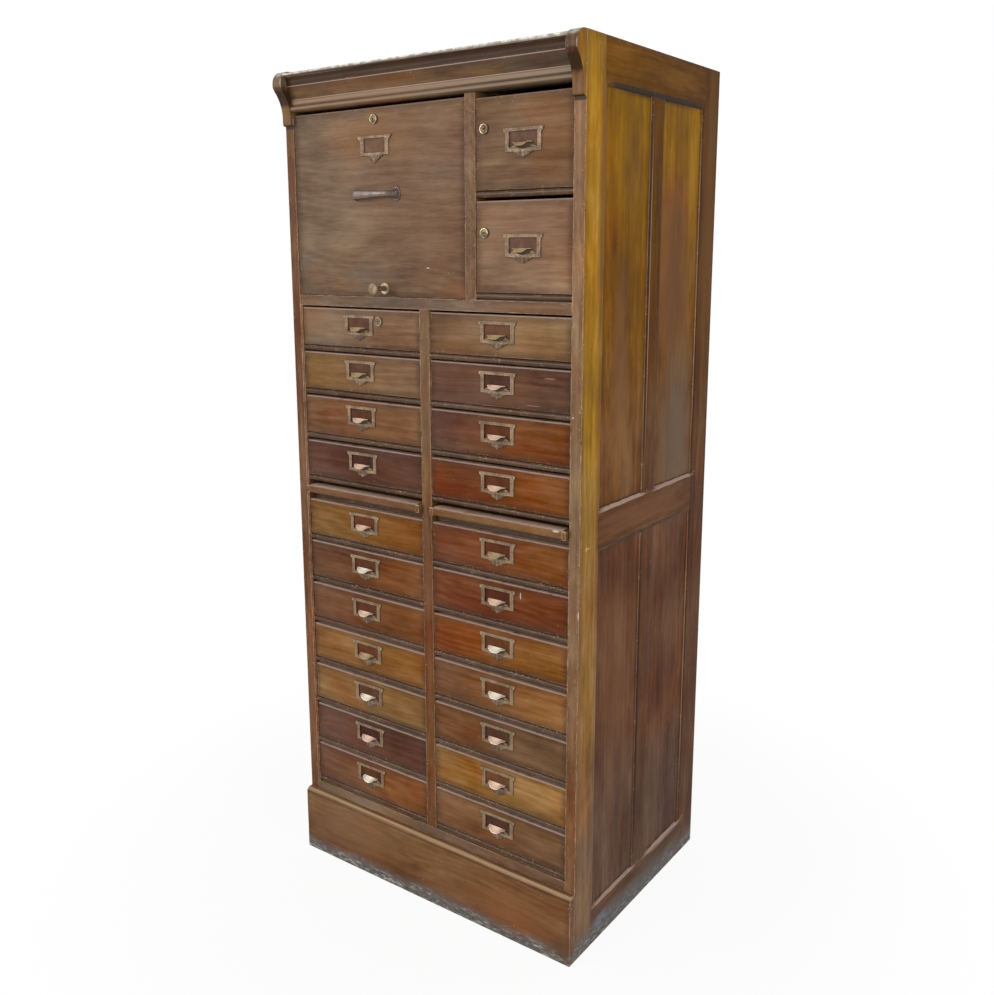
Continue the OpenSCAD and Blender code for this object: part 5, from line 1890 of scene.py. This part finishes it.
STILE_FACE = Wood(
    "stile_face", Tone.COCOA, (Wash(Tone.TAN, Axis.X, 0.0, 0.3), Wash(Tone.RUST, Axis.Z, 0.9, 0.3, 0.7)),
    (
        streak_mark(0.361, 1.147, 0.005, 0.005), streak_mark(0.379, 0.76, 0.004, 0.02),
        # Painted shadow on the stile just under the foot of each cornice bracket.
        *(Patch(Tone.PITCH, (x, -0.262, 1.7185), (0.03, 0.02, 0.0035), 0.9, 0.1, 0.7, True)
          for x in BRACKETS_X),
    ), wear=0.6, wear_width=0.0018, scuffed=0.09, nicks=0.9, saturation=1.0, depth=0.93,
)
STILE_SIDE = Wood(
    "stile_side", Tone.OCHRE, (
        Wash(Tone.BRONZE, Axis.Y, -0.215, -0.19, 0.6), Wash(Tone.HONEY, Axis.Z, 1.2, 0.75, 0.8),
        Wash(Tone.UMBER, Axis.Z, 0.55, 0.2, 0.9),
    ), (
        Patch(Tone.BARE, (SIDE_FACE, -0.232, 0.888), (0.02, 0.013, 0.0022), 0.9, 0.3),
        Patch(Tone.BARE, (SIDE_FACE, -0.236, 0.888), (0.02, 0.003, 0.008), 0.9, 0.3),
        Patch(Tone.TOBACCO, (SIDE_FACE, -0.2, 1.5), (0.05, 0.012, 0.5), 0.5, 0.8, 0.1),
    ), streak=0.42, wear=0.5, saturation=1.06, scuffed=0.085, gloss=0.06, nicks=0.9,
)
LEDGES = (
    # Pale lines along the rails' ledges: dust, and painted highlight where their upper faces catch the light.
    side_line(Tone.ROSE_GREY, (-0.098, 0.9545), (0.098, 0.0042), 0.55, 0.8, 0.8),
    side_line(Tone.ROSE_GREY, (0.134, 0.9545), (0.098, 0.0042), 0.5, 0.8, 0.8),
    side_line(Tone.ROSE_GREY, (-0.100, 0.0870), (0.100, 0.0050), 0.55, 1.1, 0.7),
    side_line(Tone.ROSE_GREY, (0.134, 0.0870), (0.098, 0.0050), 0.6, 1.1, 0.7),
    Patch(Tone.ROSE_GREY, (SIDE_FACE, 0.140, 0.0790), (0.012, 0.070, 0.0016), 0.5, 1.0, 0.7, True),
    Patch(Tone.COCOA, (SIDE_FACE, 0.0, 0.915), (0.02, 0.24, 0.034), 0.4, 0.4, 0.5, True),
    # Painted shade on the moulded edges under the top rail and under the middle rail.
    side_line(Tone.SOOT_AND_SHADE, (0.018, 1.7525), (0.206, 0.0052), 0.85, 0.15, 0.8),
    side_line(Tone.SOOT_AND_SHADE, (0.018, 0.875), (0.206, 0.0036), 0.5, 0.3, 0.6),
)
ARRISES = (
    # Dark lines: painted shade on the moulded edges beside the muntin and the back stile. Pink lines: rubbed
    # arrises.
    side_line(Tone.SOOT_AND_SHADE, (-0.0085, 1.36), (0.0036, 0.39), 0.75, 0.2, 0.6),
    side_line(Tone.SOOT_AND_SHADE, (-0.0075, 0.47), (0.0044, 0.39), 0.85, 0.2, 0.6),
    side_line(Tone.SOOT_AND_SHADE, (0.2272, 0.9), (0.0030, 0.84), 0.6, 0.2, 0.6),
    Patch(Tone.PINK, (SIDE_FACE, -0.0018, 1.36), (0.01, 0.0016, 0.38), 0.6, 0.9, 0.3, True),
    side_line(Tone.PINK, (0.2228, 1.36), (0.0014, 0.38), 0.6, 0.9, 0.3, 0.01),
    side_line(Tone.PINK, (0.2228, 0.50), (0.0014, 0.38), 0.6, 0.9, 0.3, 0.01),
)
SIDE_FRAME = Wood(
    "side_frame", Tone.BRONZE, (
        Wash(Tone.TOBACCO, Axis.Y, -0.17, 0.12, 1.0, 0.12), Wash(Tone.DUSK, Axis.Z, 1.35, 1.0, 0.75),
        Wash(Tone.SIENNA, Axis.Z, 1.0, 0.8, 0.7), Wash(Tone.MAUVE, Axis.Z, 0.3, 0.05, 0.4),
    ), LEDGES + ARRISES + (
        Patch(Tone.GRIME, (SIDE_FACE, 0.02, 0.022), (0.02, 0.36, 0.046), 0.6, 0.7, 0.0),
        Patch(Tone.SKY, (SIDE_FACE, -0.15, 0.040), (0.02, 0.05, 0.020), 0.55, 0.8, 0.0),
        Patch(Tone.TOBACCO, (SIDE_FACE, 0.27, 1.5), (0.05, 0.05, 0.5), 0.75, 0.6, 0.2),
        Patch(Tone.BRONZE, (SIDE_FACE, 0.12, 1.79), (0.05, 0.14, 0.03), 0.5, 0.7, 0.1),
    ), streak=0.4, depth=0.70, saturation=1.12, scuffed=0.075, gloss=0.03, nicks=1.0,
)
SIDE_PANELS = Wood(
    "side_panels", Tone.KHAKI, (
        Wash(Tone.BRONZE, Axis.Z, 1.68, 1.4, 0.8), Wash(Tone.COCOA, Axis.Z, 1.35, 1.05, 0.85),
        Wash(Tone.SIENNA, Axis.Z, 0.93, 0.86, 1.0), Wash(Tone.MAUVE, Axis.Z, 0.55, 0.2, 0.6),
    ), (
        panel_patch(Tone.SLATE, (0.15, 1.06), (0.13, 0.30), 0.75, 0.35, 0.0),
        panel_patch(Tone.RUST, (0.11, 1.40), (0.13, 0.28), 0.8, 0.4, 0.0),
        panel_patch(Tone.UMBRA, (0.12, 1.38), (0.09, 0.24), 0.62, 0.5, 0.0),
        panel_patch(Tone.HONEY, (-0.1, 1.08), (0.08, 0.18), 0.5, 0.6, 0.0),
        panel_patch(Tone.COCOA, (-0.1, 0.50), (0.09, 0.42), 0.4, 0.5, 0.0),
        panel_patch(Tone.MOSS, (-0.11, 1.25), (0.05, 0.25), 0.6, 0.5, 0.0),
        panel_patch(Tone.UMBRA, (-0.07, 1.62), (0.06, 0.14), 0.5, 0.6, 0.0),
        # Painted shadow across the tops of the panels, under the top rail.
        Patch(Tone.SOOT_AND_SHADE, (PANEL_FACE, 0.018, 1.7495), (0.02, 0.206, 0.0120), 0.75, 0.2, 0.0, True),
        Patch(Tone.OCHRE, (PANEL_FACE, 0.19, 1.6), (0.02, 0.03, 0.14), 0.5, 0.5, 0.0),
    ), streak=0.42, figure=0.08, cloud=0.7, wear=0.25, depth=0.76, saturation=1.10, gloss=0.03,
)
BEAD_RAILS = Wood(
    "bead_rails", Tone.COCOA, (Wash(Tone.UMBER, Axis.X, -0.1, 0.3, 0.7),),
    (streak_mark(0.120, 0.798, 0.005, 0.005, amount=0.9),), wear=0.3, gloss=0.16, roughness=0.3, nicks=1.0,
    depth=0.46,
)
MIDDLE_RAIL = Wood(
    "middle_rail", Tone.GREIGE, (Wash(Tone.SAND, Axis.X, -0.15, 0.25),), wear=0.5, wear_width=0.002,
    depth=0.78,
)
DIVIDERS = Wood("dividers", Tone.UMBER, (Wash(Tone.RUST, Axis.Z, 1.1, 0.6),), wear=0.5, wear_width=0.0016)
# The cove is darker above 1.804: partly grime, partly painted shade.
CORNICE = Wood(
    "cornice", Tone.UMBER, (
        Wash(Tone.SLATE, Axis.X, -0.1, 0.2), Wash(Tone.UMBRA, Axis.Z, 1.799, 1.804, 0.75, 0.05),
    ), (
        Patch(Tone.GREIGE, (-0.12, -0.27, 1.779), (0.16, 0.04, 0.012), 0.15, 0.6, 0.1),
        Patch(Tone.OLIVE, (0.14, -0.27, 1.784), (0.10, 0.04, 0.014), 0.5, 0.6, 0.1),
        # Pale lines and bands: painted highlights on the fillets and the bead, partly wear. Dark lines:
        # painted shade under the top board's nose and in the groove between fascia and band, partly grime.
        front_line(Tone.ROSE_GREY, (MOULDING_FACE, 1.7752), (0.02, 0.0011), 0.6, 0.5, 0.3),
        front_line(Tone.ROSE_GREY, (-0.278, 1.8015), (0.02, 0.0012), 0.6, 0.5, 0.3),
        front_line(Tone.PITCH, (-0.27, 1.8062), (0.04, 0.0035), 0.85, 0.2, 0.4),
        front_line(Tone.GREIGE, (MOULDING_FACE, 1.7695), (0.03, 0.0055), 1.0, 0.4, 0.4),
        front_line(Tone.GREIGE, (MOULDING_FACE, 1.7580), (0.03, 0.0050), 0.9, 0.5, 0.3),
        front_line(Tone.PITCH, (MOULDING_FACE, 1.7625), (0.03, 0.0008), 0.6, 0.3, 0.6),
    ), wear=0.3, depth=0.64, gloss=0.08, figure=0.05, nicks=0.7,
)
# Darker below 1.811, with a dark line under the nose: partly grime, partly painted shade on the nose's
# underside.
TOP_BOARD = Wood(
    "top_board", Tone.DUSK, (
        Wash(Tone.MAUVE, Axis.Y, -0.27, -0.20, 0.5), Wash(Tone.UMBRA, Axis.Z, 1.818, 1.811, 0.8, 0.05),
    ), (
        front_line(Tone.DUST, (-0.290, 1.8277), (0.012, 0.0085), 0.55, 0.8, 0.3),
        front_line(Tone.CHALK, (-0.290, 1.8277), (0.010, 0.0070), 0.9, 1.2, 0.1, 70.0),
        front_line(Tone.PITCH, (-0.28, 1.8155), (0.03, 0.0048), 0.8, 0.2, 0.6),
    ), wear=0.4, wear_tone=Tone.DUST, wear_width=0.003, depth=0.62, nicks=0.8,
)
BRACKETS = Wood(
    "brackets", Tone.TAN, (
        Wash(Tone.PITCH, Axis.Z, 1.757, 1.768, 0.9, 0.05), Wash(Tone.DUSK, Axis.Z, 1.790, 1.796, 1.0, 0.05),
        Wash(Tone.GREIGE, Axis.Z, 1.796, 1.806, 0.9, 0.05),
    ), (
        *(Patch(Tone.DUST, (x, -0.286, 1.831), (0.02, 0.014, 0.016), 0.75, 0.8, 0.1) for x in BRACKETS_X),
        # Painted shade along the lower edge of each bracket's foot.
        front_line(Tone.PITCH, (-0.27, 1.7225), (0.05, 0.0024), 0.9, 0.1, 0.6),
    ), wear=0.7, wear_tone=Tone.DUST, wear_width=0.0022, depth=0.76, nicks=0.5,
)
PLINTH = Wood(
    "plinth", Tone.COCOA, (
        Wash(Tone.OLIVE, Axis.Z, 0.02, 0.11, 0.4), Wash(Tone.RUST, Axis.X, 0.0, 0.34, 0.35),
    ), (
        Patch(Tone.MOSS, (-0.22, PLINTH_FACE, 0.09), (0.22, 0.05, 0.08), 0.6, 0.6, 0.1),
        Patch(Tone.RUST, (0.20, PLINTH_FACE, 0.06), (0.16, 0.05, 0.06), 0.55, 0.5, 0.0),
        Patch(Tone.UMBRA, (0.36, PLINTH_FACE, 0.03), (0.05, 0.05, 0.05), 0.6, 0.5, 0.1),
        front_line(Tone.CHIP, (-0.276, 0.1545), (0.01, 0.0040), 0.55, 0.9, 0.2),
        front_line(Tone.SOOT_AND_SHADE, (-0.279, 0.1475), (0.004, 0.0016), 0.55, 0.5, 0.5),
    ), wear=0.5, wear_width=0.0024, nicks=1.0, scuffed=0.052,
)
BACK_FRAME = Wood("back_frame", Tone.SIENNA, (Wash(Tone.MAUVE, Axis.Z, 0.5, 0.1, 0.6),), wear=0.3, streak=0.4)
BACK_PANELS = Wood("back_panels", Tone.DUSK, (Wash(Tone.SLATE, Axis.Z, 0.8, 0.2, 0.5),), wear=0.1, streak=0.5)
SLIDE_LEAF = Wood(
    "slide_leaf", Tone.OLIVE, (Wash(Tone.COCOA, Axis.X, -0.1, 0.2),), wear=0.2, wear_width=0.002
)
SLIDE_NOSING = Wood(
    "slide_nosing", Tone.COCOA, (Wash(Tone.OLIVE, Axis.X, -0.1, 0.1),),
    (Patch(Tone.DUST, (0.331, -0.2705, 0.9245), (0.009, 0.02, 0.0022), 0.8, 0.3),),
    wear=0.35, wear_width=0.002, top_highlight=0.7, depth=0.92, nicks=1.0,
)
INNER_WOOD = Wood("inner_wood", Tone.LATH, (Wash(Tone.DEAL, Axis.Y, -0.2, 0.1),), wear=0.2, roughness=0.6)


@dataclass
class Case:
    """The fixed case: sides, back, dividers, rails, cornice and plinth."""

    shop: Workshop
    stile_side: Material = field(default_factory=STILE_SIDE.material)

    def build(self) -> None:
        """Builds every node that rides on the cabinet body."""
        self.build_sides()
        self.build_front()
        self.build_inside()

    def build_sides(self) -> None:
        """Builds the two framed sides and the framed back."""
        finish, face = SIDE_FRAME.material(), STILE_FACE.material()
        for node in ("left_side_frame", "right_side_frame"):
            SideFrame(node, finish, face, inner=self.shop.inner, stile=self.stile_side).build()
        Joinery("side_panels", SIDE_PANELS.material(), slot="panel_wood").build()
        Joinery("back_frame", BACK_FRAME.material(), slot="raw_wood").build()
        Joinery("back_panels", BACK_PANELS.material(), slot="raw_wood").build()

    def build_front(self) -> None:
        """Builds what shows on the front: rails, dividers, cornice and plinth."""
        rail, middle, divider = (wood.material() for wood in (BEAD_RAILS, MIDDLE_RAIL, DIVIDERS))
        DrawnRails("lower_drawer_rails", rail, self.shop, wander=0.0006).build()
        DrawnRails("upper_drawer_rails", rail, self.shop, wander=0.0005).build()
        for node, finish in (("middle_rail", middle), ("bottom_rail", middle), ("packing_strip", divider)):
            Joinery(node, finish).build()
        for node in ("upper_divider", "lower_divider"):
            Joinery(node, self.shop.inner, divider).build()
        DrawnRails("cornice_moulding", CORNICE.material(), self.shop, wander=0.0004).build()
        DrawnRails("top_board", TOP_BOARD.material(), self.shop, wander=0.0006).build()
        Joinery("cornice_brackets", BRACKETS.material(), ease=0.0006, outer=self.stile_side).build()
        Joinery("plinth_board", PLINTH.material(), ease=0.0012).build()

    def build_inside(self) -> None:
        """Builds the boards and runners inside the case."""
        for node in ("bottom_board", "middle_shelf", "drawer_runners", "upper_runners"):
            Joinery(node, self.shop.inner, slot="raw_wood", ease=0.0006).build()


# ---------------------------------------------------------------------------------------------
# Studio
# ---------------------------------------------------------------------------------------------


@dataclass
class Studio:
    """A pale floor, soft lamps and the camera."""

    camera_place: Place = (1.3474, -1.8861, 1.4561)
    yaw: float = 36.235
    pitch: float = -11.285
    roll: float = -0.219
    lens: float = 37.035
    shift: Pair = (0.01195, -0.04323)
    world_light: float = 0.6
    floor_size: float = 30.0

    def build(self) -> None:
        """Builds the studio."""
        self.build_world()
        self.build_floor()
        self.add_lamp("key", place=(-2.6, -4.6, 2.6), target=(0.0, 0.0, 0.8), size=2.6, power=150.0)
        self.add_lamp("fill", place=(4.4, -1.4, 2.2), target=(0.2, 0.0, 0.8), size=2.6, power=84.0)
        self.build_camera()
        bpy.context.scene.view_settings.view_transform = "Standard"

    def build_world(self) -> None:
        """A world that is white to the eye and a soft grey light to the object."""
        world = bpy.data.worlds.new("studio")
        bpy.context.scene.world = world
        world.use_nodes = True
        tree = Tree(world.node_tree)
        seen = self.seen_directly(tree)
        level = tree.node("ShaderNodeBackground", {}, {"Color": WHITE, "Strength": self.world_light})
        white = tree.node("ShaderNodeBackground", {}, {"Color": WHITE, "Strength": 1.0})
        mixed = tree.node("ShaderNodeMixShader", {}, {0: seen, 1: level, 2: white})
        tree.raw("ShaderNodeOutputWorld", {}, {"Surface": mixed})

    @staticmethod
    def seen_directly(tree: Tree) -> Wire:
        """1 for camera, glossy and transmission rays, 0 for the light that falls on things."""
        rays = tree.raw("ShaderNodeLightPath", {}, {})
        camera, glossy, through = (
            Wire(tree, rays.outputs[f"Is {kind} Ray"]) for kind in ("Camera", "Glossy", "Transmission")
        )
        return camera.highest(glossy).highest(through)

    def build_floor(self) -> None:
        """The floor, white to the eye but for the shadow of the object."""
        half = self.floor_size / 2
        mesh = bpy.data.meshes.new("studio_floor")
        corners = [(-half, -half, 0.0), (half, -half, 0.0), (half, half, 0.0), (-half, half, 0.0)]
        mesh.from_pydata(corners, [], [(0, 1, 2, 3)])
        material, tree = shader_tree("studio_floor")
        matt = tree.node("ShaderNodeBsdfDiffuse", {}, {"Color": (0.82, 0.82, 0.81, 1.0)})
        glow = tree.node("ShaderNodeEmission", {}, {"Color": WHITE, "Strength": 1.0})
        x, y, _ = tree.object_place().parts()
        far = (x * x + y * y).ramp(0.2, 1.6)
        bright = self.seen_directly(tree) * (far * 0.08 + 0.92)
        mixed = tree.node("ShaderNodeMixShader", {}, {0: bright, 1: matt, 2: glow})
        tree.raw("ShaderNodeOutputMaterial", {}, {"Surface": mixed})
        mesh.materials.append(material)
        floor = bpy.data.objects.new("studio_floor", mesh)
        bpy.context.scene.collection.objects.link(floor)

    @staticmethod
    def add_lamp(
        name: str, place: Place, target: Place, size: float, power: float
    ) -> None:
        """Adds a soft square lamp that looks at a target."""
        lamp = bpy.data.lights.new(name, "AREA")
        lamp.shape, lamp.size, lamp.energy = "SQUARE", size, power
        stand = bpy.data.objects.new(name, lamp)
        stand.location = place
        stand.rotation_euler = (Vector(target) - Vector(place)).to_track_quat("-Z", "Y").to_euler()
        bpy.context.scene.collection.objects.link(stand)

    def build_camera(self) -> None:
        """The camera at the photograph's place and angle."""
        data = bpy.data.cameras.new("camera")
        data.sensor_fit, data.sensor_width, data.lens = "HORIZONTAL", 36.0, self.lens
        data.shift_x, data.shift_y = self.shift
        camera = bpy.data.objects.new("camera", data)
        yaw, pitch, roll = (math.radians(a) for a in (self.yaw, self.pitch, self.roll))
        turn = Matrix.Rotation(yaw, 4, "Z") @ Matrix.Rotation(math.pi / 2 + pitch, 4, "X")
        turn = turn @ Matrix.Rotation(roll, 4, "Z")
        camera.matrix_world = Matrix.Translation(self.camera_place) @ turn
        bpy.context.scene.collection.objects.link(camera)
        bpy.context.scene.camera = camera


def dress_small_metal(shop: Workshop) -> None:
    """Gives the lock plugs and bolts, which stay as they were packed, their finishes."""
    for node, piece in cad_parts.items():
        if node.endswith(("_lock_plug", "_lock_bolt")):
            finish = shop.plug if node.endswith("plug") else shop.steel
            piece.data.materials.clear()
            piece.data.materials.append(finish)
            LOG.info("%s: dressed as packed", node)


def open_workshop() -> Workshop:
    """Builds the node trees and the finishes that the sub-assemblies share."""
    return Workshop(
        screws=ScrewHeads(), mouldings=Mouldings(), brass=AGED_BRASS.material(),
        lip_sheens={lip: metal.material() for lip, metal in LIP_SHEENS.items()}, bright_brass=BRIGHT_BRASS.material(),
        screw=OLD_SCREWS.material(), iron=CAST_GREY.material(), bowl=DARK_BRASS.material(),
        plug=LOCK_PLUG.material(), steel=STEEL.material(), inner=INNER_WOOD.material(),
    )


def build_moving_parts(shop: Workshop) -> None:
    """Builds the drawers and the writing slides."""
    for drawer in BAY_DRAWERS:
        drawer.build(shop)
    leaf, nosing = SLIDE_LEAF.material(), SLIDE_NOSING.material()
    for node in ("left_writing_slide", "right_writing_slide"):
        WritingSlide(node, leaf, nosing).build()
    for drawer in SHALLOW_DRAWERS:
        drawer.build(shop)


def main() -> None:
    """Builds the cabinet and its studio."""
    logging.basicConfig(level=logging.INFO, format="%(message)s")
    shop = open_workshop()
    Case(shop).build()
    build_moving_parts(shop)
    dress_small_metal(shop)
    Studio().build()


if __name__ == "__main__":
    main()
